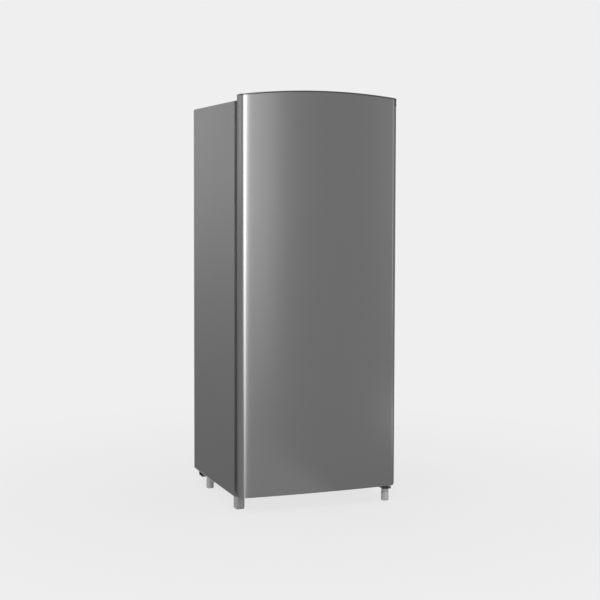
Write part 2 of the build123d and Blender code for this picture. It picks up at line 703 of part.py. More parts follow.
with BuildPart() as switch_plunger:
    with BuildSketch(facing(DYKE_TOP + 0.3)):
        with Locations((SWITCH_X, SWITCH_Z)):
            Circle(SWITCH_RADIUS)
    extrude(amount=-24)
    with BuildSketch(facing(HOUSING_FRONT + 9)):
        with Locations((SWITCH_X, SWITCH_Z)):
            Circle(SWITCH_RADIUS + 1.5)
    extrude(amount=-2)

# Door panel: sheet bent round the bowed face and both sides, with a return along each rear edge
RETURN = 14.0
with BuildPart() as door_panel:
    with BuildSketch(Plane.XY.offset(DOOR_BOTTOM)):
        add(door_outline())
        add(door_outline(-SHEET), mode=Mode.SUBTRACT)
        with Locations((0, FRONT - GRIP_LIP / 2 + 5)):
            Rectangle(WIDTH - 2 * RETURN, GRIP_LIP + 12, mode=Mode.SUBTRACT)
    extrude(amount=DOOR_TOP + DOOR_ARCH - DOOR_BOTTOM)
    with BuildSketch(facing(0)):
        add(arched_front(DOOR_BOTTOM, DOOR_TOP - CAP_LIP))
        with Locations((HALF, DOOR_TOP)):
            Rectangle(2 * CAP_CHEEK, 2 * CAP_END, mode=Mode.SUBTRACT)
        with Locations((HALF, DOOR_BOTTOM)):
            Rectangle(2 * LOWER_CORNER, 2 * LOWER_CORNER, mode=Mode.SUBTRACT)
        with Locations((HALF - LOWER_CORNER, DOOR_BOTTOM + LOWER_CORNER)):
            Circle(LOWER_CORNER)
    extrude(amount=400, both=True, mode=Mode.INTERSECT)
    with Locations((HALF - CAP_CHEEK, DOOR_REAR, DOOR_TOP)):
        Box(2 * RETURN, 4, 2 * CAP_END, mode=Mode.SUBTRACT)

# Door caps: top cap with its overhanging lip and hinge pocket, bottom cap with its hinge boss
CAP_FLOOR = DOOR_TOP - CAP_END
BOTTOM_CAP_FLOOR = DOOR_BOTTOM + 1
BOTTOM_CAP_TOP = DOOR_BOTTOM + 15
BUSH_RADIUS = 7.0
POCKET_FLOOR = TOP - 2.5
POCKET_ROOF = TOP + 7
UPPER_BUSH_FLOOR = CAP_FLOOR - 14
LOWER_BUSH_TOP = BOTTOM_CAP_TOP + 2
HINGE = (HINGE_X, FRONT + HINGE_Y)
with BuildPart() as door_top_cap:
    with BuildSketch(Plane.XY.offset(CAP_FLOOR)):
        add(door_outline(CAP_OVERHANG))
        with Locations((0, DOOR_REAR + 5)):
            Rectangle(WIDTH + 20, 10, mode=Mode.SUBTRACT)
    extrude(amount=CAP_END + DOOR_ARCH + 5)
    with BuildSketch(facing(0)):
        add(arched_front(CAP_FLOOR, DOOR_TOP))
        under_lip = arched_front(CAP_FLOOR, DOOR_TOP - CAP_LIP, HALF - CAP_CHEEK)
        add(under_lip, mode=Mode.SUBTRACT)
    extrude(amount=400, both=True, mode=Mode.INTERSECT)
    with BuildSketch(Plane.XY.offset(CAP_FLOOR)):
        add(door_outline(-SHEET))
    extrude(amount=CAP_END - CAP_LIP)
    with BuildSketch(Plane.XY.offset(UPPER_BUSH_FLOOR - 3)):
        with Locations(HINGE):
            Circle(10)
    extrude(amount=CAP_FLOOR - UPPER_BUSH_FLOOR + 4)
    with BuildSketch(Plane(origin=(*HINGE, POCKET_FLOOR))):
        with BuildLine():
            Polyline(
                (-10.5, 30),
                (-10.5, -4),
                (-4.75, -8.8),
                (21.2, -23.8),
                (30, -23.8),
                (30, 30),
                close=True,
            )
        make_face()
    extrude(amount=POCKET_ROOF - POCKET_FLOOR, mode=Mode.SUBTRACT)
    with BuildSketch(Plane.XY.offset(UPPER_BUSH_FLOOR)):
        with Locations(HINGE):
            Circle(BUSH_RADIUS)
    extrude(amount=POCKET_ROOF - UPPER_BUSH_FLOOR, mode=Mode.SUBTRACT)

with BuildPart() as door_bottom_cap:
    with BuildSketch(Plane.XY.offset(BOTTOM_CAP_FLOOR)):
        add(door_outline(-SHEET))
    extrude(amount=BOTTOM_CAP_TOP - BOTTOM_CAP_FLOOR)
    with BuildSketch(Plane.XY.offset(BOTTOM_CAP_TOP)):
        with Locations(HINGE):
            Circle(10)
    extrude(amount=5)
    with BuildSketch(Plane.XY.offset(BOTTOM_CAP_FLOOR)):
        with Locations(HINGE):
            Circle(BUSH_RADIUS)
    extrude(amount=LOWER_BUSH_TOP - BOTTOM_CAP_FLOOR, mode=Mode.SUBTRACT)
    with BuildSketch(facing(0)):
        with Locations((HALF - LOWER_CORNER / 2, DOOR_BOTTOM + LOWER_CORNER / 2)):
            Rectangle(LOWER_CORNER, LOWER_CORNER)
        with Locations((HALF - LOWER_CORNER, DOOR_BOTTOM + LOWER_CORNER)):
            Circle(LOWER_CORNER - SHEET, mode=Mode.SUBTRACT)
    extrude(amount=400, both=True, mode=Mode.SUBTRACT)

# Hinge bushes pressed into both caps, the lower one with the flange that the door stands on
with BuildPart() as hinge_bushes:
    with BuildSketch(Plane.XY.offset(UPPER_BUSH_FLOOR)):
        with Locations(HINGE):
            Circle(BUSH_RADIUS)
    extrude(amount=POCKET_FLOOR - UPPER_BUSH_FLOOR)
    with BuildSketch(Plane.XY.offset(BOTTOM_CAP_FLOOR)):
        with Locations(HINGE):
            Circle(BUSH_RADIUS)
    extrude(amount=LOWER_BUSH_TOP - BOTTOM_CAP_FLOOR)
    with BuildSketch(Plane.XY.offset(BASE + 0.2)):
        with Locations(HINGE):
            Circle(BUSH_RADIUS + 1.5)
    extrude(amount=BOTTOM_CAP_FLOOR - BASE - 0.2)
    with BuildSketch(Plane.XY.offset(BASE)):
        with Locations(HINGE):
            Circle(PIN_RADIUS + PIN_CLEARANCE)
    extrude(amount=POCKET_FLOOR - BASE, mode=Mode.SUBTRACT)

# Grip strip lining the rebate behind the door's left edge
with BuildPart() as door_grip:
    with BuildSketch(Plane.XY.offset(BOTTOM_CAP_FLOOR)):
        lip_y = FRONT - GRIP_LIP
        wall_x = GRIP_DEPTH - HALF
        with BuildLine():
            Polyline(
                (1 - HALF, lip_y),
                (wall_x, lip_y),
                (wall_x, DOOR_REAR),
                (wall_x - 2, DOOR_REAR),
                (wall_x - 2, lip_y + 2),
                (1 - HALF, lip_y + 2),
                close=True,
            )
        make_face()
    extrude(amount=CAP_FLOOR - BOTTOM_CAP_FLOOR)


def dyke(shrink):
    """Raised frame of the door liner, drafted on both sides and shrunk by shrink."""
    with BuildPart(mode=Mode.PRIVATE) as ring:
        middle_z = (INSIDE_FLOOR + INSIDE_ROOF) / 2
        height = INSIDE_ROOF - INSIDE_FLOOR - 2 * (INSIDE - DYKE_OUTER)
        root = (0, DOOR_REAR - shrink, middle_z)
        plane = Plane(origin=root, x_dir=(-1, 0, 0), z_dir=(0, 1, 0))
        with BuildSketch(plane):
            RectangleRounded(2 * (DYKE_OUTER - shrink), height - 2 * shrink, 14 - shrink)
        extrude(amount=DYKE_RISE, taper=DYKE_DRAFT)
        inner = DYKE_OUTER - DYKE_WIDTH + shrink
        inner_height = height - 2 * DYKE_WIDTH + 2 * shrink
        with BuildSketch(plane) as ring_hole:
            Rectangle(2 * inner, inner_height)
            if not shrink:
                fillet(ring_hole.vertices(), 10)
        extrude(amount=DYKE_RISE + 1, taper=-DYKE_DRAFT, mode=Mode.SUBTRACT)
    return ring.part


# Door liner: thin moulded sheet with its raised frame and a pair of ledges under each bin
BIN_HALF = 161.0
BIN_WALL = 2.5
BIN_CORNER = 6.0
with BuildPart() as door_liner:
    with BuildSketch(facing(DOOR_REAR)):
        middle = ((GRIP_DEPTH + SHEET - RETURN) / 2, (BOTTOM_CAP_TOP + CAP_FLOOR) / 2)
        with Locations(middle):
            Rectangle(WIDTH - RETURN - GRIP_DEPTH - SHEET, CAP_FLOOR - BOTTOM_CAP_TOP)
    extrude(amount=LINER)
    add(dyke(0))
    for ledge_top in BIN_HEIGHTS.values():
        for side in (-1, 1):
            with Locations((side * (BIN_HALF + 6), DOOR_REAR + 18, ledge_top - 4)):
                Box(16, 16, 8)
    add(dyke(LINER), mode=Mode.SUBTRACT)

with BuildPart() as door_foam:
    with BuildSketch(Plane.XY.offset(BOTTOM_CAP_TOP)):
        add(door_outline(-SHEET))
        with Locations((0, DOOR_REAR)):
            Rectangle(WIDTH, 2 * LINER, mode=Mode.SUBTRACT)
    extrude(amount=CAP_FLOOR - BOTTOM_CAP_TOP)
    with Locations((HINGE_X, FRONT + HINGE_Y, BOTTOM_CAP_TOP + 2.5)):
        Cylinder(10, 5, mode=Mode.SUBTRACT)
    with Locations((HINGE_X, FRONT + HINGE_Y, CAP_FLOOR - 8.5)):
        Cylinder(10, 17, mode=Mode.SUBTRACT)

# Foam strips in the hollow of the raised frame, one along each side, with a hair gap where they meet
with BuildPart() as door_frame_foam:
    add(dyke(LINER))
    strip_end = DYKE_OUTER - DYKE_WIDTH + LINER - 0.5
    with Locations((-strip_end, DOOR_REAR, 600), (strip_end, DOOR_REAR, 600)):
        Box(0.2, 4 * DYKE_RISE, 1200, mode=Mode.SUBTRACT)

# Gasket: base strip, bellows neck and magnet bead round the opening
with BuildPart() as door_gasket:
    layers = ((DOOR_REAR, 4.0, 0.0), (DOOR_REAR + 4, 3.0, 2.5), (DOOR_REAR + 7, 4.5, 0.0))
    for start, thick, inset in layers:
        with BuildSketch(facing(start)):
            with Locations((0, (INSIDE_FLOOR + INSIDE_ROOF) / 2)):
                Rectangle(2 * (INSIDE + 16 - inset), INSIDE_ROOF - INSIDE_FLOOR + 32 - 2 * inset)
                Rectangle(
                    2 * (INSIDE + 4 + inset),
                    INSIDE_ROOF - INSIDE_FLOOR + 8 + 2 * inset,
                    mode=Mode.SUBTRACT,
                )
        extrude(amount=-thick)


def door_bin(floor, height, reach):
    """Open bin hung between the sides of the raised frame, with a thicker rim along its front."""
    rear = DOOR_REAR + 0.5
    front = FRONT + reach
    middle = (rear + front) / 2
    with BuildPart() as tub:
        with BuildSketch(Plane.XY.offset(floor)):
            with Locations((0, middle)):
                RectangleRounded(2 * BIN_HALF, front - rear, BIN_CORNER)
        extrude(amount=height)
        with BuildSketch(Plane.XY.offset(floor + height - 9)):
            with Locations((0, middle)):
                RectangleRounded(2 * BIN_HALF + 3, front - rear, BIN_CORNER)
            with Locations((0, rear)):
                Rectangle(400, 50, mode=Mode.SUBTRACT)
        extrude(amount=9)
        with BuildSketch(Plane.XY.offset(floor + BIN_WALL)):
            with Locations((0, middle)):
                RectangleRounded(
                    2 * (BIN_HALF - BIN_WALL), front - rear - 2 * BIN_WALL, BIN_CORNER - BIN_WALL
                )
        extrude(amount=height, mode=Mode.SUBTRACT)
    return tub


bins = {
    "bottle_bin": door_bin(BIN_HEIGHTS["bottle"], 120, 70),
    "lower_door_bin": door_bin(BIN_HEIGHTS["lower"], 78, 68),
    "middle_door_bin": door_bin(BIN_HEIGHTS["middle"], 70, 60),
    "upper_door_bin": door_bin(BIN_HEIGHTS["upper"], 62, 46),
}

# Top hinge: bracket on the cabinet, pin down into the door, moulded cover
SCREW_HEAD = 4.5
SCREW_RISE = 2.5
top_points = [(HINGE_X - 52, FRONT + 46), (HINGE_X - 26, FRONT + 28), (HINGE_X, FRONT + 46)]
bottom_points = [(196, FRONT + 16), (224, FRONT + 16), (210, FRONT + 38)]
with BuildPart() as top_hinge_bracket:
    with BuildSketch(Plane.XY.offset(TOP)):
        with Locations((HINGE_X, FRONT + HINGE_Y / 2 + 10)):
            Rectangle(16, 20 - HINGE_Y)
        with Locations(HINGE):
            Circle(8)
        with Locations((HINGE_X - 26, FRONT + 36)):
            RectangleRounded(72, 44, 6)
        with Locations(HINGE):
            Circle(PIN_RADIUS, mode=Mode.SUBTRACT)
    extrude(amount=ARM_THICK)

with BuildPart() as top_hinge_pin:
    with BuildSketch(Plane.XY.offset(UPPER_BUSH_FLOOR + 3)):
        with Locations(HINGE):
            Circle(PIN_RADIUS)
    extrude(amount=TOP + ARM_THICK - UPPER_BUSH_FLOOR - 3)

with BuildPart() as top_hinge_cover:
    with BuildSketch(Plane.XY.offset(TOP)):
        with Locations((HINGE_X - 26, FRONT + 34)):
            RectangleRounded(80, 56, 10)
    extrude(amount=13)
    with BuildSketch(Plane.XY.offset(TOP)):
        with Locations((HINGE_X - 26, FRONT + 34)):
            RectangleRounded(76, 52, 8)
    extrude(amount=11, mode=Mode.SUBTRACT)
    with Locations((HINGE_X, FRONT + 6, TOP + 2)):
        Box(17, 12, 4, mode=Mode.SUBTRACT)

# Bottom hinge: bracket under the cabinet with its pin, which also carries the front right foot
with BuildPart() as bottom_hinge_bracket:
    with BuildSketch(Plane.XY.offset(BASE - BRACKET_THICK)):
        with Locations((210, FRONT + 27)):
            RectangleRounded(50, 46, 8)
        with Locations((215, FRONT - 18)):
            RectangleRounded(30, 64, 12)
        with Locations(HINGE):
            Circle(PIN_RADIUS, mode=Mode.SUBTRACT)
        with Locations((FRONT_FOOT_X, FRONT + FRONT_FOOT_Y)):
            Circle(PIN_RADIUS + PIN_CLEARANCE, mode=Mode.SUBTRACT)
    extrude(amount=BRACKET_THICK)

with BuildPart() as bottom_hinge_pin:
    with BuildSketch(Plane.XY.offset(BASE - BRACKET_THICK)):
        with Locations(HINGE):
            Circle(PIN_RADIUS)
    extrude(amount=LOWER_BUSH_TOP - 2 - BASE + BRACKET_THICK)

# Heads of the screws that hold both hinges to the cabinet
with BuildPart() as hinge_screws:
    with BuildSketch(Plane.XY.offset(TOP + ARM_THICK)):
        with Locations(*top_points):
            RegularPolygon(SCREW_HEAD, 6)
    extrude(amount=SCREW_RISE)
    with BuildSketch(Plane.XY.offset(BASE - BRACKET_THICK - SCREW_RISE)):
        with Locations(*bottom_points):
            RegularPolygon(SCREW_HEAD, 6)
    extrude(amount=SCREW_RISE)

# Feet: oblong glide at the front left, screw foot with lock nut at the front right, rear glides
with BuildPart() as front_left_foot:
    with BuildSketch(Plane.YZ.offset(9 - HALF)) as foot_side:
        with Locations((FRONT + 18, FOOT_HEIGHT / 2)):
            Rectangle(34, FOOT_HEIGHT)
        toe = foot_side.vertices().filter_by(lambda v: v.X < FRONT + 2 and v.Y < 1)
        fillet(toe, 9)
    extrude(amount=22)

FOOT_POINT = (FRONT_FOOT_X, FRONT + FRONT_FOOT_Y)
with BuildPart() as front_right_foot:
    with BuildSketch(Plane.XY):
        with Locations(FOOT_POINT):
            Circle(FOOT_RADIUS)
    extrude(amount=27)
    with BuildSketch(Plane.XY.offset(27)):
        with Locations(FOOT_POINT):
            Circle(PIN_RADIUS)
    extrude(amount=BASE - 27)

with BuildPart() as foot_lock_nut:
    with BuildSketch(Plane.XY.offset(BASE - BRACKET_THICK - 8)):
        with Locations(FOOT_POINT):
            RegularPolygon(10.5, 6)
            Circle(PIN_RADIUS + PIN_CLEARANCE, mode=Mode.SUBTRACT)
    extrude(amount=8)

with BuildPart() as rear_feet:
    with BuildSketch(Plane.XY):
        with Locations((-REAR_FOOT_X, FRONT + REAR_FOOT_Y), (REAR_FOOT_X, FRONT + REAR_FOOT_Y)):
            Circle(FOOT_RADIUS)
    extrude(amount=BASE - RAIL_DEPTH)

pieces = {
    "cabinet_shell": cabinet_shell,
    "base_panel": base_panel,
    "cabinet_liner": cabinet_liner,
    "shelf_rails": shelf_rails,
    "cabinet_foam": cabinet_foam,
    "rear_panel": rear_panel,
    "base_rails": base_rails,
    "compressor_plate": compressor_plate,
    "compressor": compressor,
    "compressor_mounts": compressor_mounts,
    "relay_cover": relay_cover,
    "cord_grommet": cord_grommet,
    "evaporation_tray": evaporation_tray,
    "drain_tube": drain_tube,
    "condenser_tube": condenser_tube,
    "condenser_wires": condenser_wires,
    "condenser_clips": condenser_clips,
    "filter_drier": filter_drier,
    "refrigerant_tubes": refrigerant_tubes,
    "evaporator": evaporator,
    "evaporator_spacers": evaporator_spacers,
    "freezer_frame": freezer_frame,
    "freezer_flap": freezer_flap,
    "chiller_rails": chiller_rails,
    "chiller_tray": chiller_tray,
    **shelves,
    "shelf_trims": shelf_trims,
    "crisper_drawer": crisper_drawer,
    "thermostat_housing": thermostat_housing,
    "lamp_cover": lamp_cover,
    "lamp": lamp,
    "thermostat_knob": thermostat_knob,
    "switch_plunger": switch_plunger,
    "door_panel": door_panel,
    "door_top_cap": door_top_cap,
    "door_bottom_cap": door_bottom_cap,
    "hinge_bushes": hinge_bushes,
    "door_grip": door_grip,
    "door_liner": door_liner,
    "door_foam": door_foam,
    "door_frame_foam": door_frame_foam,
    "door_gasket": door_gasket,
    **bins,
    "top_hinge_bracket": top_hinge_bracket,
    "top_hinge_pin": top_hinge_pin,
    "top_hinge_cover": top_hinge_cover,
    "bottom_hinge_bracket": bottom_hinge_bracket,
    "bottom_hinge_pin": bottom_hinge_pin,
    "hinge_screws": hinge_screws,
    "front_left_foot": front_left_foot,
    "front_right_foot": front_right_foot,
    "foot_lock_nut": foot_lock_nut,
    "rear_feet": rear_feet,
}
os.makedirs("parts", exist_ok=True)
for name, piece in pieces.items():
    piece.part.label = name
    export_step(piece.part, f"parts/{name}.step")
print(len(pieces), "pieces")
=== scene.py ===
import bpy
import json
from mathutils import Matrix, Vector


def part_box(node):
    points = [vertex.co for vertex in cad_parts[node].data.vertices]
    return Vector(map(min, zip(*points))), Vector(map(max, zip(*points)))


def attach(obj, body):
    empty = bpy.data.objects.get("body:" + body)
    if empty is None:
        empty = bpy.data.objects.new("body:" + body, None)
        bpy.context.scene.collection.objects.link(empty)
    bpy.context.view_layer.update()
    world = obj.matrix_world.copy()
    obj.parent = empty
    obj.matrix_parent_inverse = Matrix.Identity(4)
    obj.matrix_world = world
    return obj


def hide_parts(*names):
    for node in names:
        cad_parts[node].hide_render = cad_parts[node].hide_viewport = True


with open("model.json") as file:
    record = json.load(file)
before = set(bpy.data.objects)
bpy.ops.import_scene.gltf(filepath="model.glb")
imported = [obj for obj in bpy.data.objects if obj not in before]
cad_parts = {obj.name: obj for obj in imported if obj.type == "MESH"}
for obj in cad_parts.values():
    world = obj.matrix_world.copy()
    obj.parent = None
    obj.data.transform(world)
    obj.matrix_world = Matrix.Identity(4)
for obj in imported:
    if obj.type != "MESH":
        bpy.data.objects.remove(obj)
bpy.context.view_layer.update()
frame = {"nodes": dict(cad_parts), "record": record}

import json
import math

import bmesh
import bpy
from bpy.props import FloatProperty, FloatVectorProperty, IntProperty, PointerProperty
from mathutils import Matrix, Vector

bl_info = {
    "name": "Single Door Refrigerator",
    "version": (1, 0, 0),
    "blender": (4, 5, 0),
    "location": "3D View > Sidebar > Refrigerator",
    "description": "Finishes and details of a single door refrigerator",
    "category": "Object",
}

MM = 0.001
NODES = frame["nodes"]
BODIES = frame["record"]["behaviour"]["bodies"]
BODY_OF = {node: body for body, members in BODIES.items() for node in members}

# The cabinet in millimetres, as in the frame: its front, back and top, and the roof over the compressor
FRONT = -196.2
BACK = 210.8
TOP = 1157.0
BAY_TOP = 225.0

# The compressor: its foot plates, the middle and underside of its can, its mounts and its tube stubs
FOOT_PLATE = 2.5
CAN_X = -20.0
CAN_Y = FRONT + 365
CAN_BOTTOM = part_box("compressor_mounts")[1].z / MM + FOOT_PLATE
MOUNT_REACH = 84
MOUNT_ROWS = (FRONT + 322, FRONT + 408)
STUB_X = CAN_X + 94
STUB_Y = CAN_Y + 18
LOW_STUB = CAN_BOTTOM + 44
HIGH_STUB = CAN_BOTTOM + 90

# The condenser: its tube, its wires, its level passes and its plane
TUBE_RADIUS = 2.5
WIRE = 1.6
PASSES = 10
PASS_PITCH = 84.0
PASS_HALF = 165.0
CONDENSER_Y = BACK + 45 - TUBE_RADIUS - WIRE
CONDENSER_FLOOR = 290.0
CONDENSER_ROOF = CONDENSER_FLOOR + (PASSES - 1) * PASS_PITCH

# The tube up to the condenser, and the filter drier
RISER_X = PASS_HALF + PASS_PITCH / 2 + 10
DRIER_X = 185.0
DRIER_Y = BACK - 30

# The top hinge's screws, which the unused holes on the other side repeat
TOP_HINGE_SCREWS = [(170, FRONT + 46, TOP + 3), (196, FRONT + 28, TOP + 3), (222, FRONT + 46, TOP + 3)]


def colour_property(name, default, description):
    """A linear colour with a sensible range."""
    return FloatVectorProperty(
        name=name, description=description, subtype="COLOR", size=3, min=0.0, max=1.0, default=default
    )


class FinishSettings(bpy.types.PropertyGroup):
    """Colours of the finishes."""

    silver: colour_property("Silver", (0.168, 0.168, 0.17), "Coated steel of the door and the cabinet")
    dark: colour_property("Dark plastic", (0.035, 0.035, 0.037), "Door caps, grip strip and hinge cover")
    white: colour_property("White plastic", (0.82, 0.83, 0.82), "Moulded liners and fittings")
    foot: colour_property("Foot plastic", (0.36, 0.36, 0.355), "Glides and screw foot")
    black: colour_property("Black enamel", (0.012, 0.012, 0.013), "Compressor, its plate and the condenser")
    clear: colour_property("Clear plastic", (0.9, 0.94, 0.96), "Bins, crisper and tray")
    roughness: FloatProperty(
        name="Door roughness", description="Roughness of the door's coated steel",
        default=0.23, min=0.0, max=1.0,
    )
    cabinet_roughness: FloatProperty(
        name="Cabinet roughness", description="Roughness of the cabinet's coated steel",
        default=0.62, min=0.0, max=1.0,
    )


class DetailSettings(bpy.types.PropertyGroup):
    """Sizes of edges and small parts."""

    moulded_edge: FloatProperty(
        name="Moulded edge", description="Rounding of moulded pieces' edges",
        subtype="DISTANCE", unit="LENGTH", default=0.0012, min=0.0,
    )
    sheet_edge: FloatProperty(
        name="Sheet edge", description="Rounding of steel and glass edges",
        subtype="DISTANCE", unit="LENGTH", default=0.0005, min=0.0,
    )
    screw_radius: FloatProperty(
        name="Screw head", description="Radius of the rear panel's screw heads",
        subtype="DISTANCE", unit="LENGTH", default=0.0036, min=0.001,
    )
    wires: IntProperty(name="Wires", description="Wires on each face of the condenser", default=48, min=2)


class StageSettings(bpy.types.PropertyGroup):
    """Camera, background and lights."""

    camera_place: FloatVectorProperty(
        name="Camera place", description="Where the camera stands",
        subtype="TRANSLATION", unit="LENGTH", size=3, default=(-1.3283, -3.5658, 0.9002),
    )
    camera_yaw: FloatProperty(
        name="Camera yaw", description="Turn of the camera towards the right",
        subtype="ANGLE", unit="ROTATION", default=0.3645,
    )
    camera_pitch: FloatProperty(
        name="Camera pitch", description="Upward tilt of the camera",
        subtype="ANGLE", unit="ROTATION", default=-0.05,
    )
    camera_roll: FloatProperty(
        name="Camera roll", description="Turn of the camera about its own axis",
        subtype="ANGLE", unit="ROTATION", default=0.0025,
    )
    lens: FloatProperty(
        name="Lens", description="Focal length", subtype="DISTANCE_CAMERA", unit="CAMERA", default=75.69
    )
    shift: FloatProperty(name="Shift", description="Vertical shift of the view", default=-0.0735)
    background: colour_property("Background", (0.863, 0.863, 0.863), "Colour seen behind the object")
    daylight: FloatProperty(
        name="Surrounding light", description="Strength of the light from all round", default=0.75, min=0.0
    )
    key: FloatProperty(
        name="Key light", description="Brightness of the strip light beside the door's left edge",
        default=7.0, min=0.0,
    )
    glow: FloatProperty(
        name="Front light", description="Brightness of the tall front softbox", default=1.4, min=0.0
    )
    side: FloatProperty(
        name="Side light", description="Brightness of the rear left softbox", default=2.9, min=0.0
    )
    left: FloatProperty(
        name="Left light", description="Brightness of the wide left softbox", default=0.71, min=0.0
    )
    fill: FloatProperty(
        name="Fill light", description="Brightness of the right softbox", default=0.9, min=0.0
    )
    room: FloatProperty(
        name="Room light", description="Brightness of the front softbox for matt surfaces",
        default=1.0, min=0.0,
    )


# Materials


def emptied_tree(owner, output_kind):
    """The node tree of a material or a world with only its output in it."""
    owner.use_nodes = True
    tree = owner.node_tree
    tree.nodes.clear()
    return tree, tree.nodes.new(output_kind)


def new_material(name):
    """An empty node material with its output and one principled shader."""
    material = bpy.data.materials.new(name)
    tree, output = emptied_tree(material, "ShaderNodeOutputMaterial")
    shader = tree.nodes.new("ShaderNodeBsdfPrincipled")
    tree.links.new(shader.outputs["BSDF"], output.inputs["Surface"])
    return material, tree, shader


def object_noise(tree, scale, detail=3.0, stretch=(1.0, 1.0, 1.0)):
    """Noise on Object coordinates, with its scale multiplied along each axis by stretch."""
    place = tree.nodes.new("ShaderNodeTexCoord")
    mapping = tree.nodes.new("ShaderNodeMapping")
    mapping.inputs["Scale"].default_value = stretch
    noise = tree.nodes.new("ShaderNodeTexNoise")
    noise.inputs["Scale"].default_value = scale
    noise.inputs["Detail"].default_value = detail
    tree.links.new(place.outputs["Object"], mapping.inputs["Vector"])
    tree.links.new(mapping.outputs["Vector"], noise.inputs["Vector"])
    return noise.outputs["Fac"]


def spread(tree, value, low, high):
    """Makes a value that stays mostly near the middle of 0 to 1 run from low to high."""
    ramp = tree.nodes.new("ShaderNodeMapRange")
    ramp.inputs["From Min"].default_value = 0.25
    ramp.inputs["From Max"].default_value = 0.75
    ramp.inputs["To Min"].default_value = low
    ramp.inputs["To Max"].default_value = high
    tree.links.new(value, ramp.inputs["Value"])
    return ramp.outputs["Result"]


def tinted(tree, value, colour, low, high):
    """The colour made from low to high times as bright by value."""
    mix = tree.nodes.new("ShaderNodeMix")
    mix.data_type = "RGBA"
    mix.inputs[6].default_value = (*[part * low for part in colour], 1)
    mix.inputs[7].default_value = (*[min(1, part * high) for part in colour], 1)
    tree.links.new(value, mix.inputs[0])
    return mix.outputs[2]


def surfaced(tree, shader, value, colour, tint, roughness, swing):
    """Colour and roughness that value varies, the first between two shares and the second by a swing."""
    tree.links.new(tinted(tree, value, colour, *tint), shader.inputs["Base Color"])
    tree.links.new(spread(tree, value, roughness - swing, roughness + swing), shader.inputs["Roughness"])


def bumped(tree, shader, value, distance, strength=0.4):
    """Small relief on the shader from value, distance deep in metres."""
    bump = tree.nodes.new("ShaderNodeBump")
    bump.inputs["Strength"].default_value = strength
    bump.inputs["Distance"].default_value = distance
    tree.links.new(value, bump.inputs["Height"])
    tree.links.new(bump.outputs["Normal"], shader.inputs["Normal"])


def coated_steel(name, colour, roughness):
    """Silver film over steel sheet: level hairlines and a faint cloudiness."""
    material, tree, shader = new_material(name)
    hairline = object_noise(tree, 3.0, 2.0, (1.5, 1.5, 420.0))
    cloud = object_noise(tree, 4.0, stretch=(1.0, 1.0, 0.6))
    tree.links.new(tinted(tree, hairline, colour, 0.96, 1.04), shader.inputs["Base Color"])
    tree.links.new(spread(tree, cloud, roughness - 0.015, roughness + 0.015), shader.inputs["Roughness"])
    shader.inputs["Metallic"].default_value = 1.0
    shader.inputs["Specular Tint"].default_value = (0.45, 0.45, 0.45, 1)
    bumped(tree, shader, hairline, 0.00004, 0.25)
    return material


def plain_metal(name, colour, roughness, grain, metallic=1.0):
    """Metal with a fine grain."""
    material, tree, shader = new_material(name)
    speckle = object_noise(tree, grain)
    surfaced(tree, shader, speckle, colour, (0.85, 1.12), roughness, 0.06)
    shader.inputs["Metallic"].default_value = metallic
    bumped(tree, shader, speckle, 0.00005)
    return material


def moulded_plastic(name, colour, roughness, grain=900.0, depth=0.00003):
    """Opaque plastic with the fine texture of its mould."""
    material, tree, shader = new_material(name)
    speckle = object_noise(tree, grain, 2.0)
    surfaced(tree, shader, object_noise(tree, 6.0), colour, (0.97, 1.03), roughness, 0.04)
    bumped(tree, shader, speckle, depth)
    return material


def enamel(name, colour, roughness):
    """Black paint on steel, slightly orange-peeled."""
    material, tree, shader = new_material(name)
    peel = object_noise(tree, 260.0, 2.0)
    surfaced(tree, shader, peel, colour, (0.8, 1.25), roughness, 0.05)
    shader.inputs["Coat Weight"].default_value = 0.3
    bumped(tree, shader, peel, 0.00008)
    return material


def clear_plastic(name, colour, roughness, transmission):
    """Tinted see-through plastic or glass with faint waviness."""
    material, tree, shader = new_material(name)
    wave = object_noise(tree, 22.0, 1.0)
    surfaced(tree, shader, wave, colour, (0.98, 1.02), roughness, 0.01)
    shader.inputs["Transmission Weight"].default_value = transmission
    shader.inputs["IOR"].default_value = 1.49
    bumped(tree, shader, wave, 0.0001, 0.1)
    return material


def galvanised(name, colour, roughness):
    """Zinc-coated steel with its spangle."""
    material, tree, shader = new_material(name)
    place = tree.nodes.new("ShaderNodeTexCoord")
    spangle = tree.nodes.new("ShaderNodeTexVoronoi")
    spangle.inputs["Scale"].default_value = 300.0
    tree.links.new(place.outputs["Object"], spangle.inputs["Vector"])
    surfaced(tree, shader, spangle.outputs["Color"], colour, (0.9, 1.08), roughness, 0.05)
    shader.inputs["Metallic"].default_value = 1.0
    return material


def paint(material, *nodes):
    """Puts one material on pieces of the frame."""
    for node in nodes:
        slots = NODES[node].material_slots
        if not slots:
            NODES[node].data.materials.append(material)
        for slot in slots:
            slot.link = "DATA"
            slot.material = material


